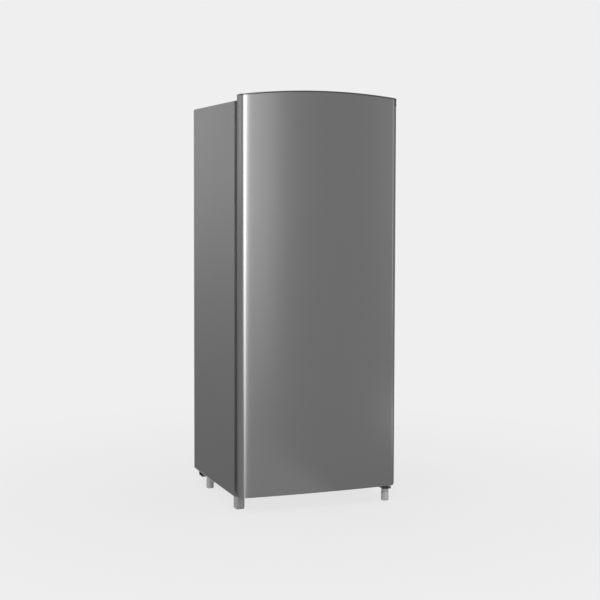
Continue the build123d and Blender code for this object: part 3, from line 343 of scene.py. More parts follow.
class REFRIGERATOR_OT_finishes(bpy.types.Operator):
    """Gives every piece of the frame its finish"""

    bl_idname = "refrigerator.finishes"
    bl_label = "Finishes"

    def execute(self, context):
        look = context.scene.refrigerator_finish
        door_steel = coated_steel("silver_door_steel", look.silver, look.roughness)
        # The door's side faces get a copy of the silver made 0.78 times as dark, which is painted shade,
        # with the cabinet's roughness.
        painted_shade_side_colour = [0.78 * part for part in look.silver]
        coated_steel("silver_door_side_painted_shade", painted_shade_side_colour, look.cabinet_roughness)
        side_steel = coated_steel("silver_cabinet_steel", look.silver, look.cabinet_roughness)
        dark = moulded_plastic("dark_plastic", look.dark, 0.42)
        white = moulded_plastic("white_plastic", look.white, 0.32)
        foot = moulded_plastic("foot_plastic", look.foot, 0.5)
        black = enamel("black_enamel", look.black, 0.35)
        clear = clear_plastic("clear_plastic", look.clear, 0.06, 0.85)
        glass = clear_plastic("shelf_glass", (0.84, 0.93, 0.9), 0.02, 0.95)
        zinc = galvanised("galvanised_steel", (0.5, 0.51, 0.52), 0.45)
        bright = plain_metal("plated_steel", (0.55, 0.55, 0.56), 0.3, 500.0)
        alloy = plain_metal("evaporator_alloy", (0.6, 0.61, 0.62), 0.55, 220.0, metallic=0.5)
        copper = plain_metal("copper_tube", (0.72, 0.36, 0.22), 0.28, 300.0)
        rubber = moulded_plastic("grey_rubber", (0.4, 0.4, 0.4), 0.62, 500.0, 0.00006)
        black_rubber = moulded_plastic("black_rubber", (0.02, 0.02, 0.02), 0.6, 500.0, 0.00006)
        foam = moulded_plastic("rigid_foam", (0.72, 0.6, 0.36), 0.85, 400.0, 0.0003)
        paint(side_steel, "cabinet_shell", "base_panel")
        paint(door_steel, "door_panel")
        paint(zinc, "rear_panel", "base_rails")
        paint(bright, "top_hinge_bracket", "top_hinge_pin", "bottom_hinge_pin", "hinge_screws")
        paint(black, "compressor_plate", "compressor", "condenser_tube", "condenser_wires")
        paint(black, "bottom_hinge_bracket")
        paint(dark, "door_top_cap", "door_bottom_cap", "door_grip", "top_hinge_cover")
        paint(dark, "relay_cover", "condenser_clips")
        paint(white, "cabinet_liner", "door_liner", "freezer_frame", "freezer_flap", "chiller_rails")
        paint(white, "thermostat_housing", "thermostat_knob", "switch_plunger", "hinge_bushes")
        paint(white, "evaporation_tray", "drain_tube", "evaporator_spacers", "shelf_rails", "shelf_trims")
        paint(clear, "bottle_bin", "lower_door_bin", "middle_door_bin", "upper_door_bin")
        paint(clear, "crisper_drawer", "chiller_tray", "lamp_cover")
        paint(glass, "lower_shelf", "middle_shelf", "upper_shelf", "crisper_cover", "lamp")
        paint(foam, "cabinet_foam", "door_foam", "door_frame_foam")
        paint(rubber, "door_gasket")
        paint(black_rubber, "compressor_mounts", "cord_grommet")
        paint(alloy, "evaporator")
        paint(copper, "refrigerant_tubes", "filter_drier")
        paint(foot, "front_left_foot", "front_right_foot", "foot_lock_nut", "rear_feet")
        return {"FINISHED"}


# Shapes


def finish(name):
    """A finish made earlier."""
    return bpy.data.materials[name]


def placed(name, data):
    """A new object in the scene."""
    item = bpy.data.objects.new(name, data)
    bpy.context.scene.collection.objects.link(item)
    return item


def evaluated_mesh(item):
    """The plain mesh that an object shows."""
    graph = bpy.context.evaluated_depsgraph_get()
    return bpy.data.meshes.new_from_object(item.evaluated_get(graph))


def shown(mesh, name, material, node, replaced=(), sharp=35.0):
    """A finished piece that rides on node's body, has its slot, and stands for the replaced nodes."""
    mesh.materials.clear()
    mesh.materials.append(material)
    mesh.shade_smooth()
    mesh.set_sharp_from_angle(angle=math.radians(sharp))
    piece = placed(name, mesh)
    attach(piece, BODY_OF[node])
    if replaced:
        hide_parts(*replaced)
    return piece


def plain_mesh(cells, name):
    """Turns a bmesh into a mesh."""
    mesh = bpy.data.meshes.new(name)
    cells.to_mesh(mesh)
    cells.free()
    return mesh


def outward_mesh(cells, name):
    """Turns a bmesh into a mesh with its faces outward."""
    bmesh.ops.recalc_face_normals(cells, faces=cells.faces)
    return plain_mesh(cells, name)


def banded(cells, near, far):
    """Joins two closed rings of corners by a band of faces."""
    for step in range(len(near)):
        after = (step + 1) % len(near)
        cells.faces.new((near[step], near[after], far[after], far[step]))


def in_metres(profile, rise=0.0):
    """A profile of radius and height from millimetres to metres, raised by a rise."""
    return [(radius * MM, (rise + height) * MM) for radius, height in profile]


def merged(node):
    """A node's mesh with its corners merged and its flat faces joined."""
    cells = bmesh.new()
    cells.from_mesh(NODES[node].data)
    bmesh.ops.remove_doubles(cells, verts=cells.verts, dist=2e-6)
    bmesh.ops.dissolve_limit(cells, angle_limit=math.radians(0.5), verts=cells.verts, edges=cells.edges)
    return cells


def rounded(node, width, segments=2):
    """Stands in for a node with every sharp edge rounded by width."""
    mesh = plain_mesh(merged(node), "rounded_" + node)
    piece = shown(mesh, "rounded_" + node, NODES[node].data.materials[0], node, (node,))
    if width:
        bevel = piece.modifiers.new("bevel", "BEVEL")
        bevel.width = width
        bevel.segments = segments
        bevel.limit_method = "ANGLE"
        bevel.angle_limit = math.radians(40.0)
        bevel.use_clamp_overlap = True
        bevel.harden_normals = True
    return piece


def turned(profile, sides=48, centre=(0.0, 0.0), stretch=0.0, ribs=0, rib_depth=0.0):
    """Upright solid of revolution in metres; stretch draws it out along X, and ribs flute its sides."""
    cells = bmesh.new()
    rings = []
    for radius, z in profile:
        ring = []
        for step in range(sides):
            angle = 2 * math.pi * (step + 0.5) / sides
            reach = radius - rib_depth * (0.5 - 0.5 * math.cos(ribs * angle)) if ribs else radius
            x = reach * math.cos(angle) + math.copysign(stretch, math.cos(angle))
            ring.append(cells.verts.new((centre[0] + x, centre[1] + reach * math.sin(angle), z)))
        rings.append(ring)
    for low, high in zip(rings, rings[1:]):
        banded(cells, low, high)
    cells.faces.new(rings[0])
    cells.faces.new(rings[-1])
    return outward_mesh(cells, "turned")


def line_mesh(*lines):
    """Edges along one or more lines of points."""
    places, edges = [], []
    for line in lines:
        edges += [(len(places) + step, len(places) + step + 1) for step in range(len(line) - 1)]
        places += line
    mesh = bpy.data.meshes.new("lines")
    mesh.from_pydata(places, edges, [])
    return mesh


# Node trees


def new_tree(name, inputs):
    """A geometry node tree with its named inputs, which starts at its Geometry socket."""
    tree = bpy.data.node_groups.new(name, "GeometryNodeTree")
    tree.is_modifier = True
    tree.interface.new_socket("Geometry", in_out="INPUT", socket_type="NodeSocketGeometry")
    for label, kind in inputs:
        tree.interface.new_socket(label, in_out="INPUT", socket_type="NodeSocket" + kind)
    tree.interface.new_socket("Geometry", in_out="OUTPUT", socket_type="NodeSocketGeometry")
    return tree, tree.nodes.new("NodeGroupInput"), tree.nodes.new("NodeGroupOutput")


def closed_tree(tree, group_in, group_out, geometry):
    """Ends a tree in real geometry with its finish."""
    real = tree.nodes.new("GeometryNodeRealizeInstances")
    paint_node = tree.nodes.new("GeometryNodeSetMaterial")
    tree.links.new(geometry, real.inputs["Geometry"])
    tree.links.new(real.outputs["Geometry"], paint_node.inputs["Geometry"])
    tree.links.new(group_in.outputs["Finish"], paint_node.inputs["Material"])
    tree.links.new(paint_node.outputs["Geometry"], group_out.inputs["Geometry"])


def tube_tree():
    """Round tubes along lines, with their corners bent."""
    inputs = (("Radius", "Float"), ("Bend", "Float"), ("Sides", "Int"), ("Finish", "Material"))
    tree, group_in, group_out = new_tree("round_tube", inputs)
    path = tree.nodes.new("GeometryNodeMeshToCurve")
    corner = tree.nodes.new("GeometryNodeFilletCurve")
    corner.mode = "POLY"
    corner.inputs["Count"].default_value = 10
    ring = tree.nodes.new("GeometryNodeCurvePrimitiveCircle")
    skin = tree.nodes.new("GeometryNodeCurveToMesh")
    skin.inputs["Fill Caps"].default_value = True
    tree.links.new(group_in.outputs["Geometry"], path.inputs["Mesh"])
    tree.links.new(path.outputs["Curve"], corner.inputs["Curve"])
    tree.links.new(group_in.outputs["Bend"], corner.inputs["Radius"])
    tree.links.new(group_in.outputs["Radius"], ring.inputs["Radius"])
    tree.links.new(group_in.outputs["Sides"], ring.inputs["Resolution"])
    tree.links.new(corner.outputs["Curve"], skin.inputs["Curve"])
    tree.links.new(ring.outputs["Curve"], skin.inputs["Profile Curve"])
    closed_tree(tree, group_in, group_out, skin.outputs["Mesh"])


def repeat_tree():
    """One shape set down at every point, turned and sized."""
    inputs = (("Shape", "Object"), ("Turn", "Vector"), ("Size", "Float"), ("Finish", "Material"))
    tree, group_in, group_out = new_tree("repeated_shape", inputs)
    shape = tree.nodes.new("GeometryNodeObjectInfo")
    spread_out = tree.nodes.new("GeometryNodeInstanceOnPoints")
    tree.links.new(group_in.outputs["Shape"], shape.inputs["Object"])
    tree.links.new(group_in.outputs["Geometry"], spread_out.inputs["Points"])
    tree.links.new(shape.outputs["Geometry"], spread_out.inputs["Instance"])
    tree.links.new(group_in.outputs["Turn"], spread_out.inputs["Rotation"])
    tree.links.new(group_in.outputs["Size"], spread_out.inputs["Scale"])
    closed_tree(tree, group_in, group_out, spread_out.outputs["Instances"])


def grown(tree_name, source, **inputs):
    """The plain mesh that a tree makes from a source mesh."""
    tree = bpy.data.node_groups[tree_name]
    seed = placed("seed", source)
    modifier = seed.modifiers.new("tree", "NODES")
    modifier.node_group = tree
    for item in tree.interface.items_tree:
        if item.in_out == "INPUT" and item.name in inputs:
            modifier[item.identifier] = inputs[item.name]
    mesh = evaluated_mesh(seed)
    seed.modifiers.remove(modifier)
    bpy.data.objects.remove(seed)
    return mesh


def tubes(name, material, node, lines, radius, bend=0.0, sides=14, replaced=()):
    """Round tubes along lines of points, their corners bent, in millimetres."""
    source = line_mesh(*[[Vector(point) * MM for point in line] for line in lines])
    mesh = grown("round_tube", source, Radius=radius * MM, Bend=bend * MM, Sides=sides, Finish=material)
    return shown(mesh, name, material, node, replaced, 50.0)


def repeated(name, material, node, shape, points, turn=(0.0, 0.0, 0.0), replaced=()):
    """A shape's mesh set down at points in millimetres."""
    source = bpy.data.meshes.new("points")
    source.from_pydata([Vector(point) * MM for point in points], [], [])
    model = bpy.data.objects.new("shape", shape)
    mesh = grown("repeated_shape", source, Shape=model, Turn=turn, Size=1.0, Finish=material)
    bpy.data.objects.remove(model)
    return shown(mesh, name, material, node, replaced)


def screw_head(radius, height):
    """Domed screw head with a washer and a cross recess, standing on the ground plane."""
    shoulder = 0.35 * height
    washer = [(1.25 * radius, 0.0), (1.25 * radius, 0.2 * height), (radius, shoulder)]
    angles = [math.pi / 2 * step / 6 for step in range(1, 6)]
    dome = [(radius * math.cos(angle), shoulder + 0.65 * height * math.sin(angle)) for angle in angles]
    head = turned([*washer, *dome, (0.05 * radius, height)], 24)
    cells = bmesh.new()
    for turn in (0, math.pi / 2):
        slot = bmesh.ops.create_cube(cells, size=1.0)["verts"]
        bmesh.ops.scale(cells, verts=slot, vec=(1.2 * radius, 0.28 * radius, 0.9 * height))
        bmesh.ops.rotate(cells, verts=slot, cent=(0, 0, 0), matrix=Matrix.Rotation(turn, 3, "Z"))
        bmesh.ops.translate(cells, verts=slot, vec=(0, 0, height))
    cutter = placed("cutter", outward_mesh(cells, "cutter"))
    blank = placed("blank", head)
    cut = blank.modifiers.new("recess", "BOOLEAN")
    cut.operation = "DIFFERENCE"
    cut.use_self = True
    cut.object = cutter
    mesh = evaluated_mesh(blank)
    bpy.data.objects.remove(blank)
    bpy.data.objects.remove(cutter)
    return mesh


def bolt_head(radius, height):
    """Hexagon head on a washer, standing on the ground plane."""
    washer, rim = 0.25 * height, 1.35 * radius
    cells = bmesh.new()
    parts = ((24, rim, rim, 0.0, washer), (6, radius, 0.94 * radius, washer, height))
    for sides, wide, narrow, low, high in parts:
        made = bmesh.ops.create_cone(
            cells, cap_ends=True, segments=sides, radius1=wide, radius2=narrow, depth=high - low
        )["verts"]
        bmesh.ops.translate(cells, verts=made, vec=(0, 0, (low + high) / 2))
    return outward_mesh(cells, "bolt_head")


class REFRIGERATOR_OT_rounded_pieces(bpy.types.Operator):
    """Rounds the edges of the sheet, moulded and glass pieces"""

    bl_idname = "refrigerator.rounded_pieces"
    bl_label = "Rounded pieces"

    def execute(self, context):
        detail = context.scene.refrigerator_detail
        rounded("cabinet_shell", 0.0)
        panel = rounded("door_panel", 0.0).data
        panel.materials.append(finish("silver_door_side_painted_shade"))
        # Faces that point sideways take that darker copy, so shade is painted on the door's sides.
        for face in panel.polygons:
            faces_sideways = abs(face.normal.x) > 0.98
            if faces_sideways:
                face.material_index = 1
        for node in (
            "door_top_cap", "door_bottom_cap", "top_hinge_cover", "front_left_foot", "relay_cover",
            "thermostat_housing", "freezer_flap", "evaporation_tray", "crisper_drawer", "chiller_tray",
            "freezer_frame",
        ):
            rounded(node, detail.moulded_edge, 3)
        for node in (
            "bottle_bin", "lower_door_bin", "middle_door_bin", "upper_door_bin", "shelf_trims", "door_grip",
            "lamp_cover", "shelf_rails", "chiller_rails", "condenser_clips",
        ):
            rounded(node, 0.6 * detail.moulded_edge)
        for node in (
            "top_hinge_bracket", "bottom_hinge_bracket", "base_rails", "compressor_plate", "lower_shelf",
            "middle_shelf", "upper_shelf", "crisper_cover",
        ):
            rounded(node, detail.sheet_edge)
        return {"FINISHED"}


class REFRIGERATOR_OT_condenser(bpy.types.Operator):
    """Bends the condenser's tube and lays its wires over both faces"""

    bl_idname = "refrigerator.condenser"
    bl_label = "Condenser"

    def execute(self, context):
        black = finish("black_enamel")
        bend = PASS_PITCH / 2
        reach = PASS_HALF + bend
        line = [(PASS_HALF, CONDENSER_Y, CONDENSER_FLOOR)]
        for turn in range(PASSES - 1):
            x = reach if turn % 2 else -reach
            z = CONDENSER_FLOOR + turn * PASS_PITCH
            line += [(x, CONDENSER_Y, z), (x, CONDENSER_Y, z + PASS_PITCH)]
        line.append((PASS_HALF, CONDENSER_Y, CONDENSER_ROOF))
        tubes("bent_condenser_tube", black, "condenser_tube", [line], TUBE_RADIUS, bend - 0.01,
              replaced=("condenser_tube",))
        count = context.scene.refrigerator_detail.wires
        margin, overhang = 8.25, 11.5
        width = 2 * (PASS_HALF - margin)
        low, high = CONDENSER_FLOOR - overhang, CONDENSER_ROOF + overhang
        wires = []
        for side in (-1, 1):
            y = CONDENSER_Y + side * (TUBE_RADIUS + WIRE / 2)
            for step in range(count):
                x = width * (step / (count - 1) - 0.5)
                wires.append([(x, y, low), (x, y, high)])
        tubes("laid_condenser_wires", black, "condenser_wires", wires, WIRE / 2, sides=8,
              replaced=("condenser_wires",))
        return {"FINISHED"}


class REFRIGERATOR_OT_compressor(bpy.types.Operator):
    """Makes the compressor's can with its foot plates, straps, mounts, bolts and stubs"""

    bl_idname = "refrigerator.compressor"
    bl_label = "Compressor"

    def execute(self, context):
        black, copper = finish("black_enamel"), finish("copper_tube")
        profile = [(40, 0), (50, 0.6), (56, 3), (60, 8), (61.6, 14), (62, 20), (62, 68.5), (62.6, 69.6),
                   (64.4, 70), (65, 70.8), (65, 74.2), (64.4, 75), (62.6, 75.4), (62, 76.6), (62, 104)]
        for step in range(1, 10):
            angle = math.pi / 18 * step
            profile.append((34 + 28 * math.cos(angle), 106 + 30 * math.sin(angle)))
        profile.append((20, 136))
        can = turned(in_metres(profile, CAN_BOTTOM), 96, (CAN_X * MM, CAN_Y * MM), stretch=17 * MM)
        shown(can, "compressor_can", black, "compressor", ("compressor",), 50.0)
        plate_profile = in_metres([(13, 0), (14, 0.5), (14, 2), (13, FOOT_PLATE)], CAN_BOTTOM - FOOT_PLATE)
        for name, side in (("left", -1), ("right", 1)):
            plate = turned(plate_profile, 64, stretch=43 * MM)
            place = Matrix.Translation(((CAN_X + side * MOUNT_REACH) * MM, CAN_Y * MM, 0))
            plate.transform(place @ Matrix.Rotation(math.pi / 2, 4, "Z"))
            shown(plate, f"compressor_{name}_foot_plate", black, "compressor")
        strap = 1.2
        low = CAN_BOTTOM - strap
        straps = [[(CAN_X - 80, y, low), (CAN_X + 80, y, low)] for y in (CAN_Y - 30, CAN_Y + 30)]
        tubes("compressor_straps", black, "compressor", straps, strap, sides=4)
        mounts = [(CAN_X + side * MOUNT_REACH, y) for side in (-1, 1) for y in MOUNT_ROWS]
        grommet = [(8, 0), (11.6, 0.4), (12, 1.4), (12, 3.4), (9, 4.6), (8.4, 6),
                   (9, 7.4), (12, 8.4), (12, 11), (11, 12), (4, 12)]
        grommet_height = grommet[-1][1]
        under_plate = [(x, y, CAN_BOTTOM - FOOT_PLATE - grommet_height) for x, y in mounts]
        repeated("compressor_grommets", finish("black_rubber"), "compressor_mounts",
                 turned(in_metres(grommet), 32), under_plate, replaced=("compressor_mounts",))
        on_plate = [(x, y, CAN_BOTTOM) for x, y in mounts]
        bolt = bolt_head(5.5 * MM, 5 * MM)
        repeated("compressor_bolts", finish("plated_steel"), "compressor", bolt, on_plate)
        stubs = [[(CAN_X + 55, STUB_Y, z), (STUB_X, STUB_Y, z)] for z in (LOW_STUB, HIGH_STUB)]
        tubes("compressor_stubs", copper, "compressor", stubs, 4, sides=18)
        y, z = CAN_Y - 20, CAN_BOTTOM + 60
        tubes("process_tube", copper, "compressor", [[(CAN_X + 55, y, z), (CAN_X + 92, y, z)]], 3)
        return {"FINISHED"}


class REFRIGERATOR_OT_circuit(bpy.types.Operator):
    """Makes the tubes between the compressor, the condenser and the step's roof, and the filter drier"""

    bl_idname = "refrigerator.circuit"
    bl_label = "Circuit"

    def execute(self, context):
        copper = finish("copper_tube")
        stub_end = STUB_X - 4
        level = BAY_TOP - 12
        discharge = [
            (stub_end, STUB_Y, LOW_STUB), (RISER_X, STUB_Y, LOW_STUB), (RISER_X, CONDENSER_Y, LOW_STUB),
            (RISER_X, CONDENSER_Y, CONDENSER_ROOF), (PASS_HALF, CONDENSER_Y, CONDENSER_ROOF),
        ]
        outlet = [
            (PASS_HALF, CONDENSER_Y, CONDENSER_FLOOR), (DRIER_X, CONDENSER_Y, CONDENSER_FLOOR),
            (DRIER_X, CONDENSER_Y, level), (DRIER_X, DRIER_Y, level), (DRIER_X, DRIER_Y, 192),
        ]
        tubes("discharge_tubes", copper, "refrigerant_tubes", [discharge, outlet], TUBE_RADIUS, bend=12,
              replaced=("refrigerant_tubes",))
        suction = [(stub_end, STUB_Y, HIGH_STUB), (120, STUB_Y, HIGH_STUB), (120, STUB_Y, BAY_TOP)]
        tubes("suction_tube", finish("black_rubber"), "refrigerant_tubes", [suction], 4, bend=12, sides=18)
        capillary = [
            (DRIER_X, DRIER_Y, 93), (DRIER_X, DRIER_Y, 68), (150, DRIER_Y, 68), (150, DRIER_Y, 205),
            (126, STUB_Y, 205), (126, STUB_Y, BAY_TOP),
        ]
        tubes("capillary_tube", copper, "refrigerant_tubes", [capillary], 1.1, bend=8, sides=8)
        drier = [(2.4, 92), (3, 93), (3, 99), (6, 101.5), (8.6, 104), (9, 107), (9, 128), (8.4, 129),
                 (8.4, 130.5), (9, 131.5), (9, 176), (8.6, 179), (6, 182), (3, 185), (3, 193), (2.4, 194)]
        body = turned(in_metres(drier), 32, (DRIER_X * MM, DRIER_Y * MM))
        shown(body, "drier_can", copper, "filter_drier", ("filter_drier",))
        return {"FINISHED"}


class REFRIGERATOR_OT_door_seal(bpy.types.Operator):
    """Runs the pleated gasket round the door's rear face"""

    bl_idname = "refrigerator.door_seal"
    bl_label = "Door gasket"

    def execute(self, context):
        half = [(6, 0), (6, 2.4), (5.2, 3.9), (3.2, 4.5), (3.0, 4.9), (4.8, 5.7), (4.8, 6.3), (3.2, 7.0),
                (5.4, 7.6), (6, 8.6), (6, 10.4), (5.4, 11.2), (4.2, 11.5)]
        profile = [(-across, depth) for across, depth in half] + half[::-1]
        half_width = half[0][0] * MM
        low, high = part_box("door_gasket")
        wide, tall = (high.x - low.x) / 2 - half_width, (high.z - low.z) / 2 - half_width
        middle = (low + high) / 2
        cells = bmesh.new()
        rings = []
        for across, depth in profile:
            x, z, y = wide + across * MM, tall + across * MM, low.y + depth * MM
            corners = ((-x, -z), (x, -z), (x, z), (-x, z))
            rings.append([cells.verts.new((middle.x + a, y, middle.z + b)) for a, b in corners])
        for near, far in zip(rings, rings[1:] + rings[:1]):
            banded(cells, near, far)
        seal = outward_mesh(cells, "gasket")
        shown(seal, "pleated_gasket", finish("grey_rubber"), "door_gasket", ("door_gasket",))
        return {"FINISHED"}


class REFRIGERATOR_OT_feet(bpy.types.Operator):
    """Turns the round feet"""

    bl_idname = "refrigerator.feet"
    bl_label = "Feet"

    def execute(self, context):
        grey = finish("foot_plastic")
        low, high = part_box("front_right_foot")
        centre = ((low.x + high.x) / 2, (low.y + high.y) / 2)
        fluting = 0.35 * MM
        base = [(8.4, 0), (10, 0.5), (10.8, 1.6), (11, 3), (11, 26), (10.6, 26.8)]
        foot = turned(in_metres(base), 144, centre, ribs=24, rib_depth=fluting)
        nut = [(9.6, 28.2), (10.5, 28.8), (10.5, 35.2), (10, 35.9)]
        collar = turned(in_metres(nut), 144, centre, ribs=36, rib_depth=fluting)
        shown(collar, "foot_collar", grey, "foot_lock_nut", ("foot_lock_nut",))
        thread = [(4.0 if step % 2 else 3.55, 27 + 0.55 * step) for step in range(24)]
        screw = turned(in_metres([(3.5, 26.6), *thread]), 24, centre)
        shown(foot, "screw_foot", grey, "front_right_foot", ("front_right_foot",))
        shown(screw, "screw_foot_thread", finish("plated_steel"), "front_right_foot", (), 60.0)
        low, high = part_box("rear_feet")
        middle, tall = (low.y + high.y) / 2 / MM, high.z / MM
        glide = [(9, 0), (10.4, 0.6), (11, 2), (11, tall - 6), (10.2, tall - 5), (10.2, tall)]
        repeated("rear_glides", grey, "rear_feet", turned(in_metres(glide)),
                 [(-224, middle, 0), (224, middle, 0)], replaced=("rear_feet",))
        return {"FINISHED"}


def corner_plugs():
    """Fills both upper corners of the shell's front flange, each with a quarter round."""
    radius = 5.3
    angles = [math.pi / 16 * step for step in range(9)]
    quarter = [(0, 0), *[(radius * math.cos(angle), radius * math.sin(angle)) for angle in angles]]
    cells = bmesh.new()
    for side in (-1, 1):
        faces = []
        for y in (FRONT + 0.3, FRONT + 2.3):
            places = [(side * (234 + x), y, TOP - 6 + z) for x, z in quarter]
            ring = [cells.verts.new((x * MM, y * MM, z * MM)) for x, y, z in places]
            faces.append(ring)
            cells.faces.new(ring)
        banded(cells, *faces)
    plugs = outward_mesh(cells, "corner")
    shown(plugs, "shell_corner_plugs", finish("dark_plastic"), "cabinet_shell")


class REFRIGERATOR_OT_screws(bpy.types.Operator):
    """Sets the hinge bolts, the rear panel's screws and the plugs"""

    bl_idname = "refrigerator.screws"
    bl_label = "Screws"

    def execute(self, context):
        bright = finish("plated_steel")
        bolt = bolt_head(4.5 * MM, 2.4 * MM)
        repeated("top_hinge_bolts", bright, "hinge_screws", bolt, TOP_HINGE_SCREWS,
                 replaced=("hinge_screws",))
        bottom = [(196, FRONT + 16, 36), (224, FRONT + 16, 36), (210, FRONT + 38, 36)]
        head_down = (math.pi, 0.0, 0.0)
        repeated("bottom_hinge_bolts", bright, "hinge_screws", bolt, bottom, head_down)
        head = screw_head(context.scene.refrigerator_detail.screw_radius, 1.5 * MM)
        edge_x, low_z, top_z = 229, 234, 1146
        places = [(side * edge_x, z) for side in (-1, 1) for z in range(262, 1150, 110)]
        places += [(x, z) for z in (top_z, low_z) for x in range(-160, 161, 80)]
        rear_face = BACK + 0.8
        rear = [(x, rear_face, z) for x, z in places]
        head_back = (-math.pi / 2, 0.0, 0.0)
        repeated("rear_panel_screws", bright, "rear_panel", head, rear, head_back)
        corner_plugs()
        plug = turned(in_metres([(4.4, 0), (5, 0.4), (4.8, 1.1), (3.4, 1.6), (1, 1.7)]), 32)
        holes = [(-x, y, TOP) for x, y, _ in TOP_HINGE_SCREWS]
        repeated("hinge_hole_plugs", finish("silver_cabinet_steel"), "cabinet_shell", plug, holes)
        return {"FINISHED"}


def winding(start, end, passes, left, right):
    """Corners of a path that crosses from left to right and back at even steps from start to end."""
    corners = []
    for step in range(passes):
        along = start + step * (end - start) / (passes - 1)
        corners += [(across, along) for across in ((right, left) if step % 2 else (left, right))]
    return corners


class REFRIGERATOR_OT_cold_box(bpy.types.Operator):
    """Raises the channels on the evaporator's floor, roof and walls"""

    bl_idname = "refrigerator.cold_box"
    bl_label = "Evaporator channels"

    def execute(self, context):
        low, high = [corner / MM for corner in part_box("evaporator")]
        inset = 1.6
        level = winding(low.y + 34, high.y - 40, 6, low.x + 26, high.x - 26)
        upright = winding(low.z + 26, high.z - 26, 4, low.y + 30, high.y - 34)
        lines = [[(x, y, z) for x, y in level] for z in (low.z + inset, high.z - inset)]
        lines += [[(x, y, z) for y, z in upright] for x in (low.x + inset, high.x - inset)]
        tubes("evaporator_channels", finish("evaporator_alloy"), "evaporator", lines, 2.6, bend=9, sides=12)
        return {"FINISHED"}


class REFRIGERATOR_OT_dial(bpy.types.Operator):
    """Puts the numbers on the thermostat knob and softens its shape"""

    bl_idname = "refrigerator.dial"
    bl_label = "Dial"

    def execute(self, context):
        rounded("thermostat_knob", 0.7 * MM, 3)
        low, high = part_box("thermostat_knob")
        face = Matrix.Translation((low.x + 7.75 * MM, (low.y + high.y) / 2, (low.z + high.z) / 2))
        out_to_ring = Matrix.Translation((0, 0, 13.6 * MM))
        upright = Matrix(((0, 0, -1), (-1, 0, 0), (0, 1, 0))).to_4x4()
        joined = bmesh.new()
        for number in range(7):
            curve = bpy.data.curves.new("numeral", "FONT")
            curve.body = str(number)
            curve.size = 4.6 * MM
            curve.extrude = 0.12 * MM
            curve.align_x = "CENTER"
            curve.align_y = "CENTER"
            numeral = placed("numeral", curve)
            mesh = evaluated_mesh(numeral)
            bpy.data.objects.remove(numeral)
            angle = math.radians(-135 + 45 * number)
            mesh.transform(face @ (Matrix.Rotation(angle, 4, "X") @ out_to_ring) @ upright)
            joined.from_mesh(mesh)
        shown(plain_mesh(joined, "numbers"), "dial_numbers", finish("dark_plastic"), "thermostat_knob")
        return {"FINISHED"}


# Stage


def shown_rays(tree):
    """1 for camera, glossy and transmission rays, which see the background, and 0 for those that light."""
    path = tree.nodes.new("ShaderNodeLightPath")
    total = path.outputs["Is Camera Ray"]
    for kind in ("Is Glossy Ray", "Is Transmission Ray"):
        add = tree.nodes.new("ShaderNodeMath")
        add.operation = "MAXIMUM"
        tree.links.new(total, add.inputs[0])
        tree.links.new(path.outputs[kind], add.inputs[1])
        total = add.outputs[0]
    return total


def backdrop_world(background, daylight):
    """Even light from all round, seen as the plain background."""
    world = bpy.data.worlds.new("surroundings")
    bpy.context.scene.world = world
    tree, output = emptied_tree(world, "ShaderNodeOutputWorld")
    mix = tree.nodes.new("ShaderNodeMixShader")
    light = tree.nodes.new("ShaderNodeBackground")
    light.inputs["Color"].default_value = (1, 1, 1, 1)
    light.inputs["Strength"].default_value = daylight
    seen = tree.nodes.new("ShaderNodeBackground")
    seen.inputs["Color"].default_value = (*background, 1)
    tree.links.new(shown_rays(tree), mix.inputs[0])
    tree.links.new(light.outputs[0], mix.inputs[1])
    tree.links.new(seen.outputs[0], mix.inputs[2])
    tree.links.new(mix.outputs[0], output.inputs["Surface"])


def floor_material(background):
    """Pale floor that fades into the background away from the object and keeps its shadow near it."""
    material = bpy.data.materials.new("pale_floor")
    tree, output = emptied_tree(material, "ShaderNodeOutputMaterial")
    matt = tree.nodes.new("ShaderNodeBsdfDiffuse")
    matt.inputs["Color"].default_value = (0.8, 0.8, 0.8, 1)
    even = tree.nodes.new("ShaderNodeEmission")
    even.inputs["Color"].default_value = (*background, 1)
    place = tree.nodes.new("ShaderNodeTexCoord")
    reach = tree.nodes.new("ShaderNodeVectorMath")
    reach.operation = "LENGTH"
    tree.links.new(place.outputs["Object"], reach.inputs[0])
    fade = tree.nodes.new("ShaderNodeMapRange")
    fade.inputs["From Min"].default_value = 0.5
    fade.inputs["From Max"].default_value = 1.6
    fade.inputs["To Min"].default_value = 0.86
    fade.inputs["To Max"].default_value = 1.0
    tree.links.new(reach.outputs["Value"], fade.inputs["Value"])
    seen = tree.nodes.new("ShaderNodeMath")
    seen.operation = "MULTIPLY"
    tree.links.new(shown_rays(tree), seen.inputs[0])
    tree.links.new(fade.outputs["Result"], seen.inputs[1])
    mix = tree.nodes.new("ShaderNodeMixShader")
    tree.links.new(seen.outputs[0], mix.inputs[0])
    tree.links.new(matt.outputs[0], mix.inputs[1])
    tree.links.new(even.outputs[0], mix.inputs[2])
    tree.links.new(mix.outputs[0], output.inputs["Surface"])
    return material


def softbox(name, centre, target, width, height, brightness, matt=False, glossy=True):
    """A rectangular light at centre, facing target, for matt surfaces, glossy ones or both.

    Its brightness is its power per area over pi.
    """
    data = bpy.data.lights.new(name, "AREA")
    data.shape = "RECTANGLE"
    data.size = width
    data.size_y = height
    data.energy = brightness * math.pi * width * height
    lamp = placed(name, data)
    lamp.location = centre
    lamp.rotation_euler = (Vector(target) - Vector(centre)).to_track_quat("-Z", "Y").to_euler()
    lamp.visible_camera = False
    lamp.visible_diffuse = matt
    lamp.visible_glossy = glossy
    return lamp


